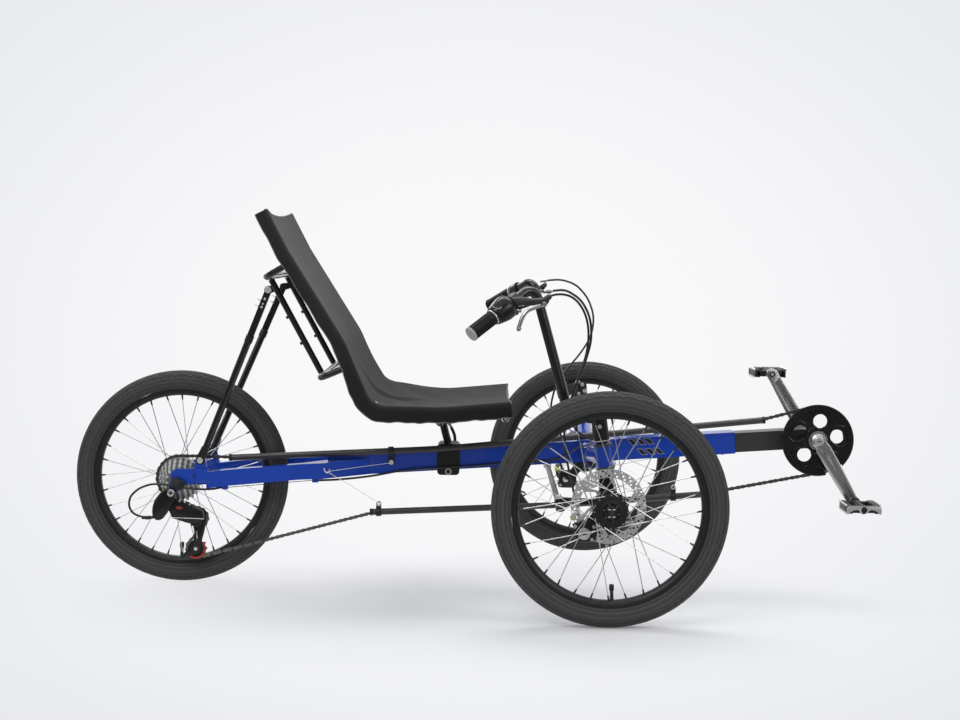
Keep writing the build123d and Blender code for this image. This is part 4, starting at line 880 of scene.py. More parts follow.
def chain_guard():
    """Black disc with a raised rim and hub, five arms of paired ridges, and ringed holes between them."""
    centre, out = at(BRACKET_X, 0, BRACKET_Z), outward(-1)
    disc = turned([(22.2, 57), (82, 57), (83, 57.8), (83, 60.2), (82, 61.2), (77.4, 61.2), (76.4, 60),
                   (74.6, 60), (73.6, 61), (69.6, 61), (67.6, 58.4), (33, 58.4), (30, 61), (22.2, 61)],
                  centre, out, 120)
    ridges = []
    for k in range(5):
        arm = CRANK_ANGLE + 36 + 72 * k
        for lean in (-1, 1):
            line = [polar(30, arm + lean * 22), polar(38, arm + lean * 11), polar(50, arm + lean * 8),
                    polar(62, arm + lean * 12), polar(69, arm + lean * 20)]
            ridges.append(swept([at(x, -58.9, z) for x, z in line], 2.3, 6, 3))
        if k:
            x, z = polar(45, CRANK_ANGLE + 72 * k)
            ridges.append(turned([(16.1, 57.6), (19.6, 57.6), (18.8, 60.6), (16.7, 60.6)],
                                 at(x, 0, z), out, 40))
    cutters = [round_bar(at(x, -70, z), at(x, -50, z), 16.05, 40)
               for x, z in (polar(45, CRANK_ANGLE + 72 * k) for k in range(1, 5))]
    slot = [polar(hypot(a, w), CRANK_ANGLE + atan2(w, a) * 180 / pi)
            for a, w in ((60, -21), (120, -21), (120, 21), (60, 21))]
    cutters.append(side_plate(slot, -70, 20))
    disc = joined([cut(disc, cutters)] + ridges)
    finish(disc, "chain_guard_disc", "crank", GLOSS_PLASTIC, ("chain_guard",), 32)
    ring = sprocket(CHAINRING_TEETH, BRACKET_X, BRACKET_Z, CHAIN_RING_Y, 2.4, 61, 0)
    posts = [round_bar(at(x, -57.5, z), at(x, CHAIN_RING_Y - 1, z), 4, 16)
             for x, z in (polar(67, CRANK_ANGLE + 36 + 72 * k) for k in range(5))]
    finish([ring] + posts, "chainring_teeth", "crank", SATIN_BLACK, ("chainring",), 30)


def crank_arm(side):
    """A forged arm: an eye at each end, a ridged face, a forked recess, and a pocket on its inner side."""
    angle = CRANK_ANGLE + (180 if side > 0 else 0)
    along = Vector((cos(radians(angle)), 0, sin(radians(angle))))
    wide = Vector((-along.z, 0, along.x))
    out = outward(side)
    foot = at(BRACKET_X, side * CRANK_FOOT, BRACKET_Z)

    def spot(a, w, o=0.0):
        return foot + (along * a + wide * w + out * o) / 1000
    outline = [(16.9 * cos(radians(t)), 16.9 * sin(radians(t))) for t in range(60, 301, 16)]
    outline += [(20, -17.6), (60, -16.6), (120, -14.4), (150, -13)]
    outline += [(162 + 13.8 * cos(radians(t)), 13.8 * sin(radians(t))) for t in range(-75, 76, 15)]
    outline += [(150, 13), (120, 14.4), (60, 16.6), (20, 17.6)]
    arm = extruded([spot(a, w) for a, w in outline], out * 0.0095)
    # the face is drawn in to a ridge that stands nearer to one edge
    edit()
    pick(lambda face: face.normal.dot(out) > 0.99)
    bpy.ops.mesh.inset(thickness=0.0056)
    bpy.ops.transform.translate(value=out * 0.0034 + wide * 0.0026)
    to_object()
    cut(arm, [extruded([spot(17, 8.5, 9), spot(17, -8.5, 9), spot(48, 0.5, 9)], out * 0.02)])
    pocket = [spot(24, -8.6, -3), spot(24, 8.6, -3), spot(142, 7, -3), spot(142, -7, -3)]
    cut(arm, [extruded(pocket, out * 0.006)])
    bevelled(arm, 0.9, 2, 32)
    # the arm leans outwards from its first eye to its second
    lean = Matrix.Identity(4)
    for column in range(3):
        lean[1][column] += side * CRANK_LEAN / CRANK_LENGTH * along[column]
    arm.data.transform(Matrix.Translation(foot) @ lean @ Matrix.Translation(-foot))
    return arm


def cranks():
    arms = [crank_arm(side) for _, side in SIDES]
    spindle = [round_bar(at(BRACKET_X, -64, BRACKET_Z), at(BRACKET_X, 64, BRACKET_Z), 10, 24),
               turned([(9, -64), (22, -64), (22, -42), (20, -40), (9, -40)], at(BRACKET_X, 0, BRACKET_Z))]
    finish(arms + spindle, "crank_arms_forged", "crank", SILVER, ("crank_arms",), 32)
    caps, dark = [], []
    for _, side in SIDES:
        out = outward(side)
        place = at(BRACKET_X, side * CRANK_CAP, BRACKET_Z)
        caps.append(turned([(0.1, 0.9), (5.6, 0.9), (6.2, 1.5), (9.2, 1.5), (10.4, 1.1), (11.4, 0),
                            (11.4, -2), (0.1, -2)],
                           place, out, 40))
        # a dark bar across the cap stands for the shade in its bolt slot: painted shade
        half = Vector((0.0038, 0, 0.0011))
        dark.append(box(place - half + out * 0.0005, place + half + out * 0.0013))
        x, z = polar(CRANK_LENGTH, CRANK_ANGLE + (180 if side > 0 else 0))
        dark.append(turned([(5, 13.6), (12.6, 13.6), (14.6, 12), (15.0, 4), (14.8, -2), (13.4, -3.4),
                            (5, -3.4)],
                           at(x, side * 77.5, z), out, 40) if side < 0 else
                    turned([(3.6, -0.6), (7.6, -0.6), (7.2, 0.5), (3.6, 0.5)],
                           at(x, side * 77.5, z), out, 32))
        dark.append(round_bar(at(x, side * 78, z), at(x, side * 172, z), 6, 20))
    finish(caps, "crank_caps", "crank", MACHINED)
    finish(dark, "pedal_spindles", "crank", DARK_STEEL)


def toothed_strip(start, end, up, height, teeth, thickness):
    """A cage plate's edge: a strip with pointed teeth along its top."""
    run = end - start
    points = [start, end]
    for k in range(teeth, 0, -1):
        points += [start + run * (k / teeth) + up * height,
                   start + run * ((k - 0.35) / teeth) + up * (height + 0.0022),
                   start + run * ((k - 0.7) / teeth) + up * height]
    points.append(start + up * height)
    return extruded(points, run.cross(up).normalized() * thickness)


def box_between(one, other, bevel=0.0):
    low = Vector(min(a, b) for a, b in zip(one, other))
    high = Vector(max(a, b) for a, b in zip(one, other))
    return box(low, high, bevel)


def pedal(name, side):
    """A flat pedal: a black body with windows, and toothed silver cage plates on three sides."""
    x, z = polar(CRANK_LENGTH, CRANK_ANGLE + (180 if side > 0 else 0))
    inner, outer = PEDAL_ENDS
    half, tall = PEDAL_LENGTH / 2, 9.4
    up = Vector((0, 0, 1))

    def spot(a, out, h):
        return at(x + a, side * out, z + h)
    body = [box_between(spot(-half + 2, inner + 1, -tall), spot(-half + 15, outer - 3, tall), 2.5),
            box_between(spot(half - 15, inner + 1, -tall), spot(half - 2, outer - 3, tall), 2.5),
            box_between(spot(-half + 6, inner + 1, -tall + 2), spot(half - 6, inner + 11, tall - 2), 2),
            box_between(spot(-half + 6, outer - 10, -tall + 2), spot(half - 6, outer - 2.4, tall - 2), 2),
            turned([(6.2, inner), (9.5, inner), (10.4, inner + 4), (8.6, inner + 14), (8.6, outer - 12),
                    (10, outer - 4), (8, outer - 1), (6, outer + 1), (0.1, outer + 1), (0.1, outer - 6),
                    (6.2, outer - 8)],
                   at(x, 0, z), outward(side), 28)]
    finish(body, name + "_body", name, BLACK_PLASTIC, (name,), 35)
    plates = []
    for level, lift in ((tall - 2.2, up), (2.2 - tall, -up)):
        for end in (-1, 1):
            edge = half - 1.4
            plates.append(toothed_strip(spot(end * edge, inner + 4, level),
                                        spot(end * edge, outer - 4, level), lift, 0.0026, 9, 0.0012))
    plates.append(toothed_strip(spot(3 - half, outer - 1.6, tall - 4), spot(half - 3, outer - 1.6, tall - 4),
                                up, 0.0034, 11, 0.0012))
    # the outer plate drops at both ends, and round the spindle's nut in the middle
    arch = [(1.0, 6.4), (1.0, -9.4), (0.88, -9.6), (0.78, -4.6), (0.62, -1.0), (0.42, 0.6), (0.28, -1.4),
            (0.20, -6.4)]
    outline = [(half * a, h) for a, h in arch] + [(-half * a, h) for a, h in reversed(arch)]
    plates.append(extruded([spot(a, outer - 1.8, h) for a, h in outline], Vector((0, side * 0.0018, 0)), 0.5))
    for end in (-1, 1):
        plates.append(round_bar(spot(end * (half - 5), outer - 0.4, -4),
                                spot(end * (half - 5), outer + 0.9, -4), 2.2, 12))
    finish(plates, name + "_cage", name, MACHINED, (), 30)


def pulley_at(pulley, y=0.0):
    return at(pulley[0], y, pulley[1])


def derailleur():
    """A black derailleur: a curved cover, the parallelogram, a cage with two pulleys, and a red guard."""
    cover = side_plate([(-22.9, 232), (-31.5, 227), (-39.1, 219.4), (-46, 210), (-50, 203), (-54, 190),
                        (-55, 178), (-53.5, 167), (-48, 159.5), (-38, 158), (-30, 162.5), (-21, 174),
                        (-12, 190), (-3, 206), (1, 222), (-4, 231), (-13, 234)], -84, 14, 3.5)
    knuckle = turned([(0.1, -70), (13, -70), (15, -68), (15, -60), (13, -58), (0.1, -58)],
                     pulley_at(GUIDE_PULLEY), ACROSS, 40)
    arms = [side_plate([(-28, 203), (-4, 208), (30, 201), (41, 187), (58, 180), (64, 170), (62, 160),
                        (24, 152), (-10, 163), (-19, 184)], -76, 3.4, 1.4),
            side_plate([(-24, 199), (30, 197), (55, 178), (58, 164), (24, 156), (-8, 168)], -66, 3.4, 1.2),
            side_plate([(20, 200), (40, 190), (60, 180), (64, 164), (50, 150), (26, 150), (14, 160)],
                       -74, 12, 3)]
    cage = [(33.5, 176), (50, 176), (60, 168), (62, 157), (60, 140), (56, 122), (51, 104), (52, 96), (50, 82),
            (44, 74), (34, 71), (20, 67.6), (5, 66.8), (10, 74), (20, 84), (30, 97), (35, 112), (35, 128),
            (32, 142), (28, 156)]
    plates = [side_plate(cage, y, 1.8, 0.5) for y in (-46.5, -33.5)]
    finish([cover, knuckle] + arms + plates, "derailleur_body", "frame", GLOSS_PLASTIC,
           ("derailleur",), 40)
    wheels = [sprocket(PULLEY_TEETH, x, z, PULLEY_Y, 3.0, 5.0) for x, z in (GUIDE_PULLEY, TENSION_PULLEY)]
    barrel = turned([(0.1, 0), (2.6, 0), (3.2, 2), (3.2, 8), (4.4, 9), (4.4, 19), (3.4, 21), (3.0, 32),
                     (0.1, 32)],
                    at(-79, -79, 163.2), at(-48, -79, 165.7) - at(-79, -79, 163.2), 20)
    finish(wheels + [barrel], "derailleur_pulleys", "frame", BLACK_PLASTIC, (), 35)
    right = outward(-1)
    bright = [bolt(at(-11.3, -79, 222.7), right, 9.2, 5, 32, 0.4),
              bolt(pulley_at(TENSION_PULLEY, -46.5), right, 4.2, 2.2, 16),
              round_bar(at(-11, -77.5, 164.8), at(64, -77.5, 162.6), 0.9, 8),
              bolt(at(-24, -76, 186), right, 2.2, 1.4, 12), bolt(at(8, -76, 203), right, 2.0, 1.4, 12),
              bolt(at(20, -76, 201), right, 2.0, 1.4, 12), bolt(at(31, -76, 196), right, 2.0, 1.4, 12),
              side_plate([(40, 128), (42, 128), (43, 110), (41.4, 110)], -47.4, 1.0, 0.2)]
    finish(bright, "derailleur_bolts", "frame", STEEL, (), 35)
    x, z = TENSION_PULLEY
    arc = [polar(24.5, a, x, z) for a in range(-125, 41, 11)]
    arc += [polar(18.5, a, x, z) for a in range(40, -126, -11)]
    red = [side_plate(arc, -48.2, 1.8, 0.4),
           side_plate([(0, 191), (13, 190.5), (16, 186), (7, 183), (0, 186)], -77.2, 1.4, 0.4)]
    finish(red, "derailleur_guard", "frame", RED, (), 35)


chain()
cassette()
chain_guard()
cranks()
for side_name, side in SIDES:
    pedal(side_name + "_pedal", side)
derailleur()


# ---------------------------------------------------------------- seat
SEAT_HALF = 210.0
RAIL_LINE = ((219, 862), (262, 779), (388, 578), (450, 428), (620, 428), (762, 441))   # X and Z of a rail
RAIL_BENDS = (150, 150, 60, 300)
# X and Z of each cross bar's ends and of its dropped middle
CROSS_BARS = (((608, 425), (608, 399)), ((756, 436), (756, 410)), ((236, 826), (231, 823)))
BRACE_FOOT, BRACE_TOP = (56.3, -66, 299.0), (221.0, -121, 694.0)
CLAMP_SCREW = (626, -30, 271.4)
CLOTH_FLAT, CLOTH_WRAP = 0.80, 0.92     # share of the cloth's half width before the rail, and to its outside
CREASE = 505                       # where back and base meet, along the rail
BELL_BASE = 2.718
CLOTH_OVER_RAIL = 14.3             # from a rail's centre to the middle of the cloth


def rounded_line(line, bends):
    """Places along a line with rounded corners: X, Z, heading and distance from its start."""
    headings = [atan2(b[1] - a[1], b[0] - a[0]) for a, b in zip(line, line[1:])]
    runs = []
    start = Vector(line[0])
    for corner, bend, before, after in zip(line[1:-1], bends, headings, headings[1:]):
        turn = after - before
        back = bend * tan(abs(turn) / 2)
        entry = Vector(corner) - Vector((cos(before), sin(before))) * back
        runs.append((start, before, (entry - start).length, 0.0))
        runs.append((entry, before, bend * abs(turn), turn))
        start = Vector(corner) + Vector((cos(after), sin(after))) * back
    runs.append((start, headings[-1], (Vector(line[-1]) - start).length, 0.0))
    total = sum(run[2] for run in runs)

    def place(distance):
        beyond = distance
        for number, (begin, heading, length, turn) in enumerate(runs):
            if beyond <= length or number == len(runs) - 1:
                break
            beyond -= length
        if not turn:
            return begin.x + beyond * cos(heading), begin.y + beyond * sin(heading), heading
        now = heading + turn * beyond / length
        reach = length / turn
        return begin.x + reach * (sin(now) - sin(heading)), begin.y - reach * (cos(now) - cos(heading)), now
    return place, total


def bell(value, middle, width):
    return BELL_BASE ** (-((value - middle) / width) ** 2)


def cloth_place(place, total, share, across):
    """A place on the seat's cloth: share runs down the seat, across from one hem to the other, -1 to 1."""
    side = -1 if across < 0 else 1
    out = abs(across)
    y = SEAT_HALF * min(1, out / CLOTH_FLAT)
    middle = 1 - (y / SEAT_HALF) ** 2
    start = -4 + 9 * middle
    end = total + 6 - 5 * middle
    distance = start + (end - start) * share
    x, z, heading = place(distance)
    sag = 9 + 7 * bell(distance, 300, 200) - 10 * bell(distance, CREASE - 30, 60)
    rise = CLOTH_OVER_RAIL - sag * middle
    rise += (9 + 7 * side) * bell(distance, CREASE, 80) * (1 - 0.4 * middle)
    rise += 1.6 * sin(distance / 15 + y / 31 * side) * bell(distance, CREASE + 70, 120) * min(1, middle * 3)
    rise += 0.7 * sin(distance / 43 + y / 25) * middle
    if out > CLOTH_FLAT:
        angle = pi / 2 * (1 - min(1, (out - CLOTH_FLAT) / (CLOTH_WRAP - CLOTH_FLAT)))
        y = SEAT_HALF + CLOTH_OVER_RAIL * cos(angle)
        rise += CLOTH_OVER_RAIL * (sin(angle) - 1) - (rise - CLOTH_OVER_RAIL) * (1 - sin(angle))
    if out > CLOTH_WRAP:
        fall = (out - CLOTH_WRAP) / (1 - CLOTH_WRAP)
        base = 1 / (1 + BELL_BASE ** (-(distance - CREASE + 90) / 30))
        hem = 12.5 + 6.5 * base + 1.0 * sin(distance / 13) + (0.4 + 1.2 * base) * sin(distance / 5.3 + 1)
        rise = -hem * fall
        y = SEAT_HALF + CLOTH_OVER_RAIL - 2.2 * fall * fall
    point = at(x - rise * sin(heading), side * y, z + rise * cos(heading))
    return point, distance


def seat_cloth():
    """The seat's mesh cloth: stretched between the rails, wrapped over them and hemmed outside."""
    place, total = rounded_line(RAIL_LINE, RAIL_BENDS)
    long_steps, wide_steps = 150, 72
    deselect()
    bpy.ops.mesh.primitive_grid_add(x_subdivisions=wide_steps, y_subdivisions=long_steps, size=2,
                                    calc_uvs=True, enter_editmode=False)
    piece = bpy.context.object
    flat = {}
    for vertex in piece.data.vertices:
        across, share = vertex.co.x, (1 - vertex.co.y) / 2
        point, distance = cloth_place(place, total, share, across)
        out = abs(across)
        half = SEAT_HALF * min(1, out / CLOTH_FLAT)
        half += 22.5 * max(0, min(1, (out - CLOTH_FLAT) / (CLOTH_WRAP - CLOTH_FLAT)))
        half += 17 * max(0, (out - CLOTH_WRAP) / (1 - CLOTH_WRAP))
        flat[vertex.index] = ((1 if across > 0 else -1) * half / 1000, distance / 1000)
        vertex.co = point
    for loop, spot in zip(piece.data.loops, piece.data.uv_layers[0].data):
        spot.uv = flat[loop.vertex_index]
    modified(piece, "SOLIDIFY", thickness=0.0016, offset=0.0, use_even_offset=True)
    finish(piece, "seat_cloth", "frame", SEAT_CLOTH, ("seat_sling",), 60)
    for side_name, side in SIDES:
        edge = [cloth_place(place, total, k / 60, side)[0] for k in range(61)]
        hem = swept(edge, 1.5, 2, 2)
        inside = [cloth_place(place, total, k / 60, side * 0.70)[0] for k in range(61)]
        lift = [Vector((0.0006, 0, 0.0006))] * 61
        seam = swept([a + b for a, b in zip(inside, lift)], 0.8, 2, 1)
        finish([hem, seam], "seat_hem_" + side_name, "frame", PIPING, (), 60)
    for name, share in (("top", 0.0), ("front", 1.0)):
        edge = [cloth_place(place, total, share, -0.86 + 1.72 * k / 40)[0] for k in range(41)]
        finish(swept(edge, 1.7, 2, 2), "seat_hem_" + name, "frame", PIPING, (), 60)
    tag = [cloth_place(place, total, share, across)[0] + Vector((0.0008, -0.0012, 0.0008))
           for share, across in ((0.618, -0.79), (0.612, -0.765), (0.620, -0.755), (0.626, -0.78))]
    finish(extruded(tag, Vector((0.0006, -0.0006, 0.0006))), "seat_stitch", "frame", WHITE_TAG)


def seat_tubes():
    """The black tubes that carry the rails, each with a dropped middle."""
    tubes = []
    for (x, z), (mid_x, mid_z) in CROSS_BARS:
        half = [(x, 204, z), (x, 188, z - (z - mid_z) * 0.25), (mid_x, 150, mid_z), (mid_x, 110, mid_z)]
        line = [at(px, -py, pz) for px, py, pz in half] + [at(*spot) for spot in reversed(half)]
        tubes.append(swept(line, 9, 12, 6))
    finish(tubes, "seat_cross_bars", "frame", GLOSS_BLACK, ("seat_cross_tubes",), 50)
    caps = []
    for _, side in SIDES:
        for (x, z), (next_x, next_z) in ((RAIL_LINE[0], RAIL_LINE[1]), (RAIL_LINE[-1], RAIL_LINE[-2])):
            out = (at(x, 0, z) - at(next_x, 0, next_z)).normalized()
            caps.append(turned([(0.1, -1), (12.9, -1), (13.2, 0.6), (11.6, 2.6), (6, 3.6), (0.1, 3.8)],
                               at(x, side * SEAT_HALF, z), out, 32))
    finish(caps, "seat_rail_plugs", "frame", BLACK_PLASTIC)


def seat_fittings():
    """Brace bolts and their sleeves, tie studs on the back rods, and the clamp's lever and bolts."""
    bright, dark = [], []
    foot, top = at(*BRACE_FOOT), at(*BRACE_TOP)
    for _, side in SIDES:
        reach = (top - foot).normalized()
        out = outward(-1)
        parts = [bolt(foot + out * 0.0142, out, 6.8, 2.6, 32, 0.55),
                 bolt(top + out * 0.0102, out, 7.6, 2.6, 32, 0.5)]
        for share, size in ((0.023, 2.8), (0.035, 2.4), (0.043, 2.8)):
            spot = top - reach * share + out * 0.0040
            parts.append(bolt(spot, out, size, 1.6, 16, 0.4))
        square = reach.cross(out).normalized()
        for share in (0.030, 0.044):
            spot = top - reach * share - out * 0.004
            parts.append(round_bar(spot - square * 0.006, spot - square * 0.0120, 2.3, 12, 0.3))
            parts.append(round_bar(spot - square * 0.0120, spot - square * 0.0165, 1.1, 8))
        # the strut's eye, outside the ear, and the stretch that runs up from it
        rim = [foot + (square * cos(t) - reach * sin(t)) * 0.0108 for t in (pi * k / 12 for k in range(13))]
        rim += [foot + reach * 0.034 - square * 0.0078, foot + reach * 0.034 + square * 0.0078]
        eye = extruded([spot + out * 0.0103 for spot in rim], out * 0.0040, 0.8)
        dark.append(sided(eye, side))
        bright += [sided(part, side) for part in parts]
        middle = foot + (top - foot) * 0.715
        collar = turned([(8.1, -9), (9.2, -8), (9.2, 8), (8.1, 9)], middle, reach, 32)
        dark.append(sided(collar, side))
        for x, z in ((266.0, 633.7), (297.4, 575.6)):
            spot = at(x, side * 135, z)
            dark.append(bolt(spot, Vector((-0.88, 0, -0.48)), 3.4, 4.4, 12, 0.4))
    finish(bright, "seat_brace_bolts", "frame", STEEL, (), 35)
    finish(dark, "seat_sleeves_and_studs", "frame", BLACK_PLASTIC, (), 35)
    out = outward(-1)
    ring = [turned([(5.0, 0), (7.6, 0), (7.6, 0.9), (5.0, 0.9)], at(*CLAMP_SCREW), out, 32),
            bolt(at(627, -22, 332.6), out, 4.6, 3.0, 20, 0.5),
            bolt(at(615.4, -22, 327.8), out, 3.6, 3.0, 20, 0.5),
            swept([at(622, -22, 388), at(626, -25, 384), at(630, -28, 379), at(633, -29, 373)], 3.3, 8, 3)]
    handle = swept([at(632, -29, 375), at(637, -31, 366), at(641, -32, 354), at(641, -32, 344)], 3.6, 8, 4)
    finish(handle, "seat_clamp_handle", "frame", BLACK_PLASTIC, (), 40)
    finish(ring, "seat_clamp_lever", "frame", MACHINED, (), 35)
    finish(bolt(at(*CLAMP_SCREW), out, 4.8, 1.8, 6, 0.5), "seat_clamp_screw", "frame", DARK_STEEL)


def cloth_finish(name, light, dark, pitch):
    """Woven seat mesh: its yarns, rows of stitches beside the rails and hems, darker stretches, and painted shade
    down towards the base, across towards the far side and between the yarns.
    """
    material, shader, flow = new_material(name, {"Sheen Weight": 0.05, "Sheen Roughness": 0.5,
                                                 "Specular IOR Level": 0.15})
    _, u, v, yarn, gap_shade = weave(flow, pitch)
    edge = abs(u)
    dash = flow.math("SINE", v * (2 * pi / 0.0036)).over(-0.2, 0.3)
    stitch = ((1 - abs(edge - 0.186).over(0.0007, 0.0003)) * dash
              + (1 - abs(edge - 0.2145).over(0.0006, 0.0003)) * dash)
    band = edge.over(0.2035, 0.0012)
    place = place_of(flow)
    cloud = noise(flow, place, 6.0, 4.0)
    base = cloud.mixed(tone(*dark), tone(*light))
    # painted shade: the spaces between the yarns are darkened nearly to black
    base = (gap_shade * 0.5).mixed(base, grey(0.006))
    # painted shade: the cloth darkens down the seat towards the base and across towards the far side
    base = (v.over(0.38, 0.24) * 0.70 + u.over(0.0, 0.22) * 0.26).mixed(base, grey(0.014))
    base = (band * 0.85).mixed(base, grey(0.007))
    base = (stitch * 0.5).mixed(base, grey(0.16))
    feed(shader, flow, "Base Color", base)
    feed(shader, flow, "Roughness", 0.72 + cloud * 0.12)
    feed(shader, flow, "Normal", bump(flow, yarn * 0.7 + stitch * 0.8, 0.00035))
    return material


SEAT_CLOTH = cloth_finish("seat_mesh", (0.122, 0.122, 0.122), (0.080, 0.080, 0.081), 0.0030)
WHITE_TAG = finish_of("white_thread", (0.72, 0.72, 0.71), 0.6, grain=2000)
seat_cloth()
seat_tubes()
seat_fittings()


# ---------------------------------------------------------------- handlebars
KINGPIN_Y, BAR_Y = 312.0, 268.0
KINGPIN_SLOPE = tan(radians(8.3))
# X and Z of each bar's bend and grip end, how far outside the upright the grip ends, its length,
# and how far from its end the lever's ring sits
HANDLEBARS = {
    -1: {"bend": (812.6, 714.0), "end": (679.3, 613.4), "out": 90.0, "grip": 62.0, "ring": 128.0},
    1: {"bend": (828.6, 714.0), "end": (723.0, 644.4), "out": 110.0, "grip": 86.0, "ring": 105.0},
}
# first bend of each brake cable, from the front axle
CABLE_START = {-1: (-96, 8, 707), 1: (-71, 18, 714)}
AXLE_X = 973.0


def grip_line(side):
    """End of a handlebar and the direction from there along the grip."""
    row = HANDLEBARS[side]
    end = at(row["end"][0], side * (BAR_Y + row["out"]), row["end"][1])
    bend = at(row["bend"][0], side * BAR_Y, row["bend"][1])
    return end, (bend - end).normalized()


def grip(name, side):
    """A ribbed rubber grip with a cap at its end and a bright ring at its inner end."""
    body = name + "_steering"
    end, along = grip_line(side)
    length = HANDLEBARS[side]["grip"]
    profile = [(11.2, 1.6), (14.4, 1.6)]
    ribs = int((length - 8) / 4.4)
    for k in range(ribs):
        start = 4 + 4.4 * k
        profile += [(14.3, start), (15.8, start + 0.6), (15.8, start + 2.6), (14.3, start + 3.2)]
    profile += [(14.6, length - 3), (16.0, length - 2.4), (16.0, length), (11.2, length)]
    rubber = turned(profile, end, along, 40)
    # every rib is notched along the grip, in eight rows
    edit()
    side_way = along.orthogonal().normalized()
    third = along.cross(side_way)

    def is_notch(face):
        out = face.calc_center_median() - end
        out -= along * out.dot(along)
        turn = atan2(out.dot(third), out.dot(side_way)) / (2 * pi) * 40
        return out.length > 0.0156 and int(turn + 40) % 5 == 0
    pick(is_notch)
    fatten_by(-0.0011)
    to_object()
    finish(rubber, name + "_grip_rubber", body, GRIP, (name + "_grip",), 30)
    cap = turned([(0.1, -3), (3.2, -3), (3.6, -2.5), (8, -2.6), (8.6, -3), (14.2, -3), (15.8, -2),
                  (16.4, -0.4), (16.4, 1.6), (0.1, 1.6)], end, along, 40)
    finish(cap, name + "_grip_cap", body, GREY_PLASTIC if side < 0 else GRIP, (), 30)
    ring = turned([(11.3, length), (17.2, length), (17.8, length + 0.8), (17.8, length + 2.4),
                   (17.2, length + 3), (11.3, length + 3)], end, along, 40)
    finish(ring, name + "_grip_ring", body, MACHINED, (), 30)


def outward_of(along, side):
    """The direction square to a grip that points most nearly to the trike's outside."""
    out = outward(side)
    return (out - along * out.dot(along)).normalized()


def shifter():
    """The twist shifter: a bulging drum, a housing with a window, and the spout its cable leaves from."""
    end, along = grip_line(-1)
    out = outward_of(along, -1)
    low = along.cross(out)
    drum = turned([(11.3, 65.2), (18.2, 65.2), (19.8, 66.4), (21.4, 71), (23.2, 78), (25.2, 86), (26.6, 94),
                   (27.0, 102), (25.4, 109), (20, 114.6), (12.6, 116), (11.3, 116)], end, along, 56)
    flutes = [round_bar(end + along * 0.066 + (out * cos(a) + low * sin(a)) * 0.0218,
                        end + along * 0.079 + (out * cos(a) + low * sin(a)) * 0.0262, 1.9, 10)
              for a in (2 * pi * k / 14 for k in range(14))]
    drum = cut(drum, flutes)
    spot = end + along * 0.101
    sign = 1 if low.z < 0 else -1
    spout = turned([(0.1, -14), (7, -13), (10.5, -7), (11.2, 0), (9.4, 8), (6.6, 14), (4.6, 18), (0.1, 18)],
                   spot + low * sign * 0.013 + along * 0.004,
                   (along * 0.75 + low * sign * 0.65).normalized(), 28)
    finish([drum, spout], "right_shifter_drum", "right_steering", GLOSS_PLASTIC,
           ("right_shifter",), 40)
    middle = end + along * 0.080
    oval = [middle + (out * cos(0.75 + 0.45 * sin(t)) + low * -sign * sin(0.75 + 0.45 * sin(t))) * 0.0238
            + along * 0.009 * cos(t) for t in (2 * pi * k / 24 for k in range(24))]
    finish(swept(oval, 0.8, 4, 2, 3, True), "right_shifter_window", "right_steering", GREY_PLASTIC,
           (), 40)


def lever_spot(side, forward, out, up):
    """A place on a brake lever, from the middle of its ring on the bar."""
    end, along = grip_line(side)
    return end + along * (HANDLEBARS[side]["ring"] / 1000) + Vector((forward, side * out, up)) / 1000


def brake_lever(name, side):
    """A brake lever: its ring and body, the curved blade, and the screw that its cable leaves from."""
    body = name + "_steering"
    end, along = grip_line(side)
    ring = end + along * (HANDLEBARS[side]["ring"] / 1000)
    outline = [(-8, -6), (4, -9), (28, -9), (50, -8), (64, -8), (71, -4), (73, 3), (79, 9), (77, 16),
               (70, 16), (58, 8), (38, 7), (14, 10), (-6, 8)]
    points = [ring + Vector((f, side * (10 + 0.30 * f), u)) / 1000 for f, u in outline]
    block = extruded(points, Vector((0, side * 0.013, 0)))
    bevelled(block, 3.6, 3, 30)
    clamp = turned([(11.3, -9), (15.6, -9), (16.6, -8), (16.6, 8), (15.6, 9), (11.3, 9)], ring, along, 40)
    lug = box(ring - Vector((0.006, 0.006, 0.022)), ring + Vector((0.006, 0.006, -0.012)), 1.6)
    finish([block, clamp, lug], name + "_lever_body", body, LEVER_GREY if side < 0 else GLOSS_PLASTIC,
           (name + "_brake_lever",), 40)
    blade = swept([lever_spot(side, *place) for place in
                   ((66, 33, -2), (56, 35, -7), (40, 39, -13), (26, 42, -19), (17, 44, -32), (12, 45, -46),
                    (9, 45, -56))], 4.5, 6, 4)
    tip = turned([(0.1, -5.2), (3.6, -4.4), (5.4, 0), (3.6, 4.4), (0.1, 5.2)],
                 lever_spot(side, 9.5, 45, -57), ACROSS, 20)
    flat = turned([(3.4, -2), (6.6, -2), (7.4, -1), (7.4, 1), (6.6, 2), (3.4, 2)],
                  lever_spot(side, 62, 33, -4), ACROSS, 28)
    outlet = lever_spot(side, 79, 29, 23)
    x, y, z = CABLE_START[side]
    run = (at(AXLE_X + x, side * (KINGPIN_Y + y), z) - outlet).normalized()
    screw = turned([(0.1, -19), (4.2, -19), (4.2, -11), (5.6, -10), (5.6, -3), (4.0, -2), (4.0, 0),
                    (3.1, 1), (0.1, 1)],
                   outlet, run, 18)
    pivot = bolt(lever_spot(side, 62, 30 + 13, -4), outward(side), 4.4, 2.2, 20, 0.5)
    inside = bolt(lever_spot(side, 62, 26, -4), outward(-side), 4.4, 2.2, 20, 0.5)
    finish([blade, tip, flat, screw, pivot, inside], name + "_lever_blade", body, SILVER, (), 45)


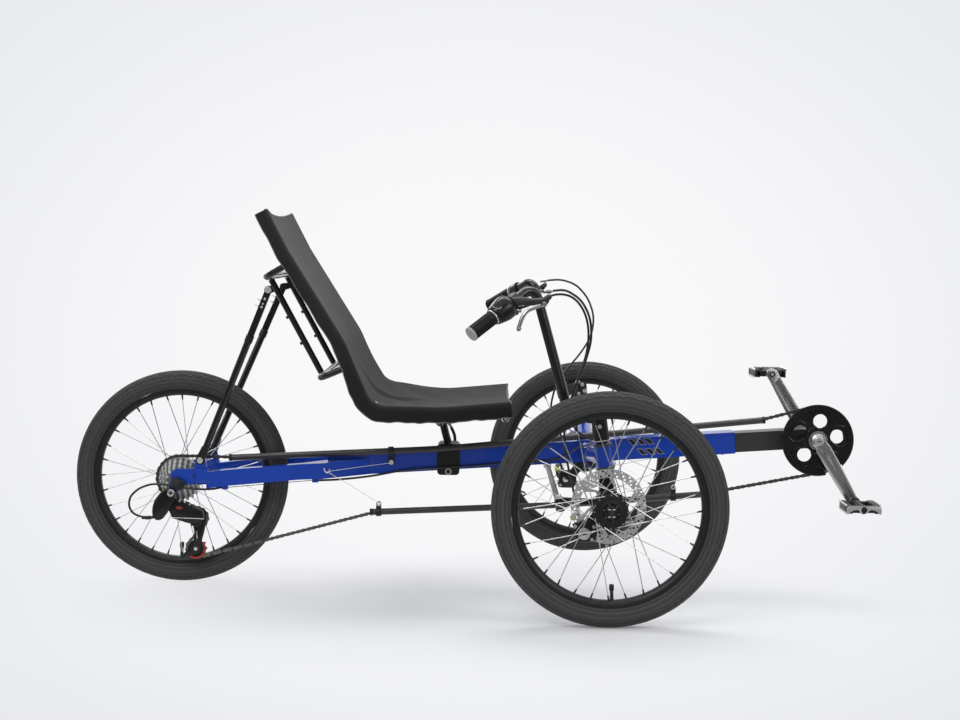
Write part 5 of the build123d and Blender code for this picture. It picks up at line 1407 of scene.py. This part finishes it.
def shift_lead():
    """The shift cable's lead: forward from the shifter in a bow, and down to the frame."""
    route = [(757, -307, 668), (775, -309, 664), (800, -310, 672), (832, -309, 689), (866, -308, 699),
             (898, -306, 690), (922, -303, 656), (930, -299, 612), (925, -294, 566), (908, -290, 514),
             (893, -287, 462), (896, -284, 418), (915, -284, 393), (942, -284, 384)]
    lead = swept([at(*spot) for spot in route], 2.5, 10, 4)
    lead.name = "shift_lead"
    lead.data.materials.append(HOUSING)
    bpy.ops.object.shade_smooth_by_angle(angle=radians(50))
    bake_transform(lead, "frame", "right_steering", start=tuple(at(942, -284, 384)), end=tuple(at(893, -287, 462)))


# ---------------------------------------------------------------- steering pivots
HEAD_X, HEAD_Z = 964, 353          # the middle of the head tube
STEM_TOP, HEAD_CUPS = 448, (325.6, 375)
AXLE_END = 427                     # across the trike, to the stub axle's bolt
STEM_BOLTS = {                     # X, Z and Y of the bolts of each stem, by its side
    -1: ((884, 443, -283.6), (898, 446, -283.6), (950, 436, -328), (953, 418, -328)),
    1: ((944, 454, 297), (958, 447, 297), (949, 425, 296), (964, 431, 300), (920, 416, 251), (912, 443, 250)),
}
CALIPER_HALVES, CALIPER_FACE = ((330.6, 341), (352, 356.4)), 356.5


def kingpin(side, z):
    return at(HEAD_X - (z - HEAD_Z) * KINGPIN_SLOPE, side * KINGPIN_Y, z)


def stem_fittings(name, side):
    """The kingpin's cap, the bearing cups and washers at the head tube, and the stem's bolts."""
    body = name + "_steering"
    top = kingpin(side, STEM_TOP)
    axis = (top - kingpin(side, 340)).normalized()
    cap = turned([(0.1, 5), (4, 5), (5, 4), (14, 3.4), (16.4, 2), (17, 0), (17, -3), (0.1, -3)],
                 top, axis, 40)
    screw = bolt(top + axis * 0.004, axis, 4.6, 3, 20, 0.5)
    bolts = [bolt(at(x, y, z), outward(-1), 4.2, 4.0, 20, 0.5) for x, z, y in STEM_BOLTS[side]]
    washer = turned([(17.2, 0), (19.8, 0), (19.8, 2), (17.2, 2)], kingpin(side, 386), axis, 40)
    finish(cap, name + "_stem_cap", body, BLACK_PLASTIC, (), 35)
    finish([screw, washer] + bolts, name + "_stem_bolts", body, STEEL, (), 35)
    cups = [turned([(17.9, 0), (20.4, 0), (20.8, 1), (20.8, 4), (19, 5.4), (17.9, 5.4)],
                   kingpin(side, z), axis, 48)
            for z in HEAD_CUPS]
    finish(cups, name + "_head_cups", "frame", DARK_STEEL, (), 35)
    pin = at(870, side * KINGPIN_Y, 257)
    ball = turned([(0.1, 6.4), (5, 6.4), (6.4, 5.4), (6.4, 0), (10.4, 0), (10.4, -1.6), (0.1, -1.6)],
                   pin + axis * 0.0052, axis, 24)
    finish(ball, name + "_ball_nut", body, STEEL, (), 35)
    out = outward(side)
    end = at(AXLE_X, side * AXLE_END, DATUM)
    finish(bolt(end, out, 5.4, 1.6, 24, 0.55), name + "_axle_bolt", body, DARK_STEEL, (), 35)
    bits = [box(end + Vector((x - 3, -0.6, z - 1.1)) / 1000, end + Vector((x + 3, 0.6, z + 1.1)) / 1000, 0.4)
            for x, z in ((-4.5, 7.6), (4.5, 7.9), (-4.5, -7.8), (4.5, -7.6))]
    finish(bits, name + "_axle_flats", body, STEEL, (), 35)


def tie_rod_ends():
    """Bright collars and lock nuts by the eyes of the tie rod."""
    right = Vector(JOINTS["tie_rod_swing"]["pos_m"])
    left = Vector((right.x, -right.y, right.z))
    parts = []
    for place, run in ((right, ACROSS), (left, -ACROSS)):
        parts.append(turned([(6.6, 11), (8.4, 11), (8.4, 20), (7.6, 21), (6.6, 21)], place, run, 24))
        parts.append(turned([(6.6, 22), (9.0, 22), (9.0, 27), (6.6, 27)], place, run, 6))
    finish(parts, "tie_rod_collars", "tie_rod", STEEL, (), 35)


def caliper(name, side):
    """A brake caliper: two halves, a bright adjuster, the cable's arm and its clamp."""
    body = name + "_steering"
    out = outward(side)
    outline = [(903, 177), (914, 175.4), (938, 175.2), (947, 181), (950, 196), (948, 212), (938, 218.6),
               (916, 218.8), (906, 214), (902.2, 203), (905, 194), (902.2, 186)]
    halves = [side_plate(outline, min(a, b), abs(b - a), 2.2)
              for a, b in ((side * low, side * high) for low, high in CALIPER_HALVES)]
    bridge = side_plate([(904, 177), (947, 183), (949, 190), (904, 188)],
                        min(side * 335, side * 354), 19, 1.2)
    back_face = [turned([(0.1, 3), (5, 3), (7, 2), (8.4, 0), (0.1, 0)], at(922, side * 331, 198),
                        outward(-side), 32),
                 bolt(at(941, side * 331, 209), outward(-side), 3.4, 2.6, 16, 0.5),
                 bolt(at(908, side * 331, 183), outward(-side), 3.4, 2.6, 16, 0.5)]
    finish(halves + [bridge], name + "_caliper_shell", body, SATIN_BLACK,
           (name + "_caliper",), 35)
    finish(back_face, name + "_caliper_screws", body, MACHINED, (), 35)
    face = CALIPER_FACE * side
    knob_x, knob_z = 921.5, 193.0
    knob = turned([(0.1, 1.6), (2.4, 1.6), (3, 3.6), (10.6, 4.2), (12.6, 3.2), (13, 1.4), (13, -2),
                   (0.1, -2)],
                  at(knob_x, face, knob_z), out, 40)
    slot_cut = box(at(knob_x - 14, face + side * 2.6 - 2, knob_z - 1),
                   at(knob_x + 14, face + side * 2.6 + 2, knob_z + 1))
    cut(knob, [slot_cut])
    arm = side_plate([(896, 214), (906, 218), (916, 204), (930, 196), (926, 184), (912, 184), (900, 200)],
                     min(face, face + side * 3), 3, 1.0)
    screws = [bolt(at(x, face, z), out, 3.6, 3.0, 16, 0.5) for x, z in ((942, 208), (938, 181))]
    clamp = bolt(at(902, face + side * 3, 209), out, 4.6, 3.4, 6, 0.5)
    finish([knob, clamp] + screws, name + "_caliper_adjuster", body, MACHINED, (), 35)
    finish(arm, name + "_caliper_arm", body, BLACK_PLASTIC, (), 35)
    lime = turned([(2.6, 0), (6, 0), (6.6, 1), (6.6, 7), (5, 9), (2.6, 9)], at(900, side * 338, 219.8),
                  at(896, side * 337, 240) - at(900, side * 338, 219), 24)
    finish(lime, name + "_cable_stop", body, LIME, (), 35)


for side_name, side in SIDES:
    grip(side_name, side)
    brake_lever(side_name, side)
    stem_fittings(side_name, side)
    caliper(side_name, side)
shifter()
shift_lead()
tie_rod_ends()


# ---------------------------------------------------------------- frame fittings
HOOK = (349.0, 276.5)              # X and Z


def main_z(x):
    """Height of the main tube's centre line."""
    return 257.9 + 0.0673 * x


def weld_drop(place, axis, thick):
    wide, tall = thick * 0.8, thick * 0.55
    return turned([(0.1, -wide), (wide, -tall), (thick, 0), (wide, tall), (0.1, wide)], place, axis, 8)


def bead(centre, axis, radius, thick=1.7, lumps=30):
    """A weld bead: overlapping drops set round a circle."""
    axis = Vector(axis).normalized()
    side = axis.orthogonal().normalized()
    drop = weld_drop(centre + side * (radius / 1000), axis, thick)
    return around(drop, lumps, centre, axis)


def line_bead(start, end, thick=1.6, step=2.6):
    """A weld bead along a straight seam."""
    count = max(2, int((end - start).length * 1000 / step))
    drop = weld_drop(start, (end - start).normalized(), thick)
    return joined([drop] + [copied(drop, Matrix.Translation((end - start) * (k / count)))
                            for k in range(1, count + 1)])


def welds():
    beads = []
    for _, side in SIDES:
        out = outward(side)
        beads.append(bead(at(945, side * 26, main_z(945)), out, 20.8, 1.9, 36))
        beads.append(bead(at(945, side * 291, 345), out, 20.4, 1.9, 36))
        for z in (main_z(440) - 9, main_z(440) + 9):
            beads.append(line_bead(at(352, side * 25.6, z - 3), at(442, side * 25.6, z)))
        beads.append(line_bead(at(46, side * 76.6, 281), at(66, side * 76.6, 279), 1.4))
    finish(beads, "weld_beads", "frame", BLUE, (), 60)


def stripes():
    """Slanted black bars with pale edges, in two rows on each side of the main tube."""
    dark, pale = [], []
    for _, side in SIDES:
        for first, top in ((1043, 22), (1066, -2)):
            for k in range(3):
                x = first + 19.5 * k
                y = side * 25.05
                for piece, grow, lift in ((dark, 0, 0.32), (pale, 1.1, 0.16)):
                    outline = [(x - grow * 1.6, top + grow), (x + 11 + grow * 0.6, top + grow),
                               (x + 24 + grow * 1.6, top - 13 - grow), (x + 13 - grow * 0.6, top - 13 - grow)]
                    points = [at(px, y, main_z(px) + h) for px, h in outline]
                    piece.append(extruded(points, Vector((0, side * lift / 1000, 0))))
    finish(dark, "stripes_dark", "frame", BLACK_PLASTIC, (), 0)
    finish(pale, "stripes_edges", "frame", GREY_PLASTIC, (), 0)


def small_fittings():
    """The hook and its wires, the clip's screw, the eyelets, and the caps and rings of the tubes."""
    right = outward(-1)
    hook_x, hook_z = HOOK
    hook = swept([at(hook_x - 8, -80.4, hook_z + 8), at(hook_x - 6, -83, hook_z + 1),
                  at(hook_x, -84, hook_z - 3), at(hook_x + 6, -83, hook_z),
                  at(hook_x + 5, -82, hook_z + 6)], 1.5, 8, 3)
    wires = [swept([at(hook_x, -83, hook_z), at(421, -56, 284), at(493, -34, 291)], 0.7, 6, 2, 2),
             swept([at(hook_x, -83, hook_z), at(407, -62, 238), at(465.5, -44, 197)], 0.7, 6, 2, 2)]
    parts = [hook] + wires + [bolt(at(493, -31, main_z(493) + 1), right, 5.6, 2.6, 28, 0.5)]
    for x, z in ((465.5, 196), (1150, 242.6)):
        parts.append(turned([(2.6, 2.2), (5.2, 2.2), (5.8, 2.9), (5.2, 3.4), (2.6, 3.4)],
                            at(x, -42, z), right, 28))
    finish(parts, "hook_wires_and_eyelets", "frame", STEEL, (), 35)
    clamp = side_plate([(-6.6, 247), (-4, 253), (4.9, 255), (18.7, 252.6), (23.3, 243.4), (14.0, 230.5),
                        (2.5, 228.0), (-6.7, 236.1)], -82.6, 3.4, 1.2)
    finish(clamp, "hanger_clamp", "frame", BLACK_PLASTIC, (), 35)
    sleeves = []
    for _, side in SIDES:
        for y, low, high in ((77.4, 246.5, 276.5), (62, 245.5, 277.8)):
            points = [(46, low + 1), (48, high + 1.2), (74, high), (76, low)]
            sleeves.append(side_plate(points, min(side * y, side * (y + 3.2)), 3.2, 1.5) if y > 70 else
                           side_plate(points, min(side * y, side * (y + 16)), 16, 3.0))
    finish(sleeves, "stay_sleeves", "frame", BLUE, (), 40)
    rings = []
    for (x, z), (next_x, next_z) in (UPPER_MOUTHS, UPPER_MOUTHS[::-1], LOWER_MOUTHS, LOWER_MOUTHS[::-1]):
        run = (at(next_x, 0, next_z) - at(x, 0, z)).normalized()
        rings.append(turned([(6.2, 0), (7.9, 0), (8.3, 1), (8.3, 5), (7.5, 6), (7.4, 8), (6.2, 8)],
                            at(x, TUBE_Y, z), run, 28))
    finish(rings, "chain_tube_ends", "frame", BLACK_PLASTIC, (), 35)
    shells = [turned([(17, side * 33), (21, side * 33), (22, side * 34.4), (22, side * 38), (20, side * 40),
                      (12, side * 40)],
                     at(BRACKET_X, 0, BRACKET_Z), ACROSS, 40) for _, side in SIDES]
    finish(shells, "bracket_cups", "frame", DARK_STEEL, (), 35)
    head = [(0.1, -2), (3.4, -2), (3.6, -1), (3.6, 1), (3.4, 2), (0.1, 2)]
    band = [turned(head, at(x, side * 18, main_z(x) - 26.5), Vector((0, 0, -1)), 20)
            for x in (1240, 1268) for side in (-0.5, 0.5)]
    finish(band, "boom_screws", "frame", STEEL, (), 35)


welds()
stripes()
small_fittings()


# ---------------------------------------------------------------- pieces whose CAD shape is right
PLAIN_NODES = {
    "main_tube": BLUE, "boom": BOOM_BLACK, "cross_member": BLUE, "rear_stays": BLUE, "rear_axle": DARK_STEEL,
    "seat_rails": GLOSS_BLACK, "seat_hoops": GLOSS_BLACK, "seat_back_rods": GLOSS_BLACK,
    "seat_braces": GLOSS_BLACK, "seat_clamp": SATIN_BLACK, "upper_chain_tube": GUIDE_TUBE,
    "lower_chain_tube": GUIDE_TUBE, "chain_tube_clips": BLACK_PLASTIC, "shift_cable": HOUSING,
    "tie_rod": GREY_ROD,
}
for name, _ in SIDES:
    PLAIN_NODES.update({name + "_knuckle": SATIN_BLACK, name + "_stem": SATIN_BLACK,
                        name + "_handlebar": GLOSS_BLACK, name + "_brake_cable": HOUSING})
for node, material in PLAIN_NODES.items():
    smoothed_node(node, material)


# ---------------------------------------------------------------- light, floor and camera
def studio():
    """A pale, even studio: a bright world, broad lamps, and a floor that fades into the background."""
    scene = bpy.context.scene
    scene.view_settings.view_transform = "Standard"
    world = bpy.data.worlds.new("studio")
    scene.world = world
    world.use_nodes = True
    tree = world.node_tree
    flow = Flow(tree, None)
    seen = seen_directly(flow)
    away = flow.node("ShaderNodeTexCoord")
    height = axis_of(flow, away, 2)
    depth, sideways = height.also(1), height.also(0)
    # reflections find the pale cloth behind the trike, and a dim room with a few lit strips before it
    strips = sum((1 - abs(sideways - place).over(wide, 0.02) for place, wide in LIT_STRIPS), 0.0)
    strips = (strips + (1 - abs(height - 0.42).over(0.05, 0.02))) * STRIP_LIGHT
    room = flow.node("ShaderNodeCombineXYZ", (strips + DIM_ROOM, strips + DIM_ROOM, strips + DIM_ROOM))
    dim = is_glossy(flow) * (1 - depth.over(0.0, 0.35)) * (1 - height.over(0.75, 0.2))
    shade = dim.mixed(backdrop_tone(flow), room)
    backdrop = flow.node("ShaderNodeBackground", {0: shade, 1: 1.0})
    fill = flow.node("ShaderNodeBackground", {0: tone(0.96, 0.98, 1.0), 1: 0.62})
    surface = flow.node("ShaderNodeMixShader", {0: seen, 1: fill, 2: backdrop})
    tree.links.new(surface.socket, tree.nodes["World Output"].inputs[0])
    for row in LAMPS:
        lamp(*row)


def is_glossy(flow):
    """1 for a reflection, 0 for everything else."""
    return flow.node("ShaderNodeLightPath", output="Is Glossy Ray")


def backdrop_tone(flow):
    """The backdrop's colour: bright in the middle of the view, greyer towards its corners, a painted falloff of
    light.
    """
    window = flow.node("ShaderNodeTexCoord", output=5)
    across = axis_of(flow, window)
    up = across.also(1)
    reach = (((across - 0.5) / 0.62) ** 2.0 + ((up - 0.52) / 0.60) ** 2.0) ** 0.5
    return reach.over(0.78, 0.58).mixed(tone(*BACKDROP_MIDDLE), tone(*BACKDROP_CORNER))


def seen_directly(flow):
    """1 for what the camera, a reflection or a clear material sees, 0 for light."""
    seen = flow.node("ShaderNodeLightPath", output="Is Camera Ray")
    glossy, through = seen.also("Is Glossy Ray"), seen.also("Is Transmission Ray")
    return flow.math("MAXIMUM", seen, flow.math("MAXIMUM", glossy, through))


def lamp(name, place, aim, width, height, watts):
    light = bpy.data.lights.new(name, "AREA")
    light.shape = "RECTANGLE"
    light.size, light.size_y, light.energy = width, height, watts
    lamp_object = bpy.data.objects.new(name, light)
    bpy.context.scene.collection.objects.link(lamp_object)
    lamp_object.location = place
    lamp_object.rotation_euler = (Vector(aim) - Vector(place)).to_track_quat("-Z", "Y").to_euler()


def floor():
    deselect()
    bpy.ops.mesh.primitive_circle_add(vertices=96, radius=40, fill_type="NGON", location=(0, 0, 0))
    piece = bpy.context.object
    piece.name = "floor"
    material, shader, flow = new_material("floor", {"Roughness": 0.9, "Specular IOR Level": 0.0,
                                                    "Base Color": (0.80, 0.80, 0.81, 1)})
    place = place_of(flow)
    # reflections find a dimmer floor in front of the trike
    ahead = axis_of(flow, place, 1)
    front = is_glossy(flow) * (1 - ahead.over(-0.35, 0.5)) * 0.85
    seen_floor = front.mixed(backdrop_tone(flow), grey(DIM_ROOM))
    glow = flow.node("ShaderNodeEmission", {0: seen_floor, 1: 1.0})
    spread = flow.node("ShaderNodeMapping",
                       {0: place, "Location": (-0.10, 0.64, 0), "Scale": (1.15, 2.0, 1.0)})
    reach = flow.node("ShaderNodeVectorMath", {0: spread}, 1, operation="LENGTH")
    share = 0.14 + reach.over(0.85, 0.65) * 0.86
    factor = seen_directly(flow) * share
    lit = Flow(flow.tree, shader.outputs[0])
    mixed = flow.node("ShaderNodeMixShader", {0: factor, 1: lit, 2: glow})
    flow.tree.links.new(mixed.socket, flow.tree.nodes["Material Output"].inputs[0])
    piece.data.materials.append(material)


def camera():
    """The camera: its place, its aim and its lens, all fitted to the three wheels."""
    yaw, pitch, roll = (radians(angle) for angle in CAMERA_TURN)
    ahead = Vector((sin(yaw), cos(yaw), 0))
    right = Vector((cos(yaw), -sin(yaw), 0))
    up = Vector((0, 0, 1))
    forward = ahead * cos(pitch) - up * sin(pitch)
    lifted = ahead * sin(pitch) + up * cos(pitch)
    side_axis = right * cos(roll) + lifted * sin(roll)
    up_axis = lifted * cos(roll) - right * sin(roll)
    data = bpy.data.cameras.new("camera")
    data.lens, data.sensor_width, data.clip_end = CAMERA_LENS, 36.0, 200
    holder = bpy.data.objects.new("camera", data)
    bpy.context.scene.collection.objects.link(holder)
    turn = Matrix((side_axis, up_axis, -forward)).transposed().to_4x4()
    holder.matrix_world = Matrix.Translation(at(*CAMERA_PLACE)) @ turn
    bpy.context.scene.camera = holder


BACKDROP_MIDDLE = (0.945, 0.945, 0.955)
BACKDROP_CORNER = (0.80, 0.81, 0.845)
DIM_ROOM, STRIP_LIGHT = 0.05, 1.2
LIT_STRIPS = ((-0.62, 0.07), (0.55, 0.10), (0.05, 0.03))    # X of each strip's direction, and half its width
# each lamp's name, place, aim, width and height in metres, and power in watts
LAMPS = (("key", (-1.6, -2.6, 3.2), (0, 0, 0.4), 2.2, 0.8, 40),
         ("fill", (2.8, -2.4, 2.0), (0.2, 0, 0.4), 1.6, 1.6, 20),
         ("top", (0.1, 0.9, 3.3), (0, 0, 0.3), 3.2, 1.2, 50),
         ("back", (-1.8, 3.0, 2.0), (0, 0, 0.4), 2.0, 1.2, 26))
CAMERA_TURN = (-0.079, 4.497, 0.596)           # yaw, pitch and roll in degrees
CAMERA_PLACE = (701.99, -3372.28, 796.10)      # millimetres, as at() takes them
CAMERA_LENS = 54.19
studio()
floor()
camera()
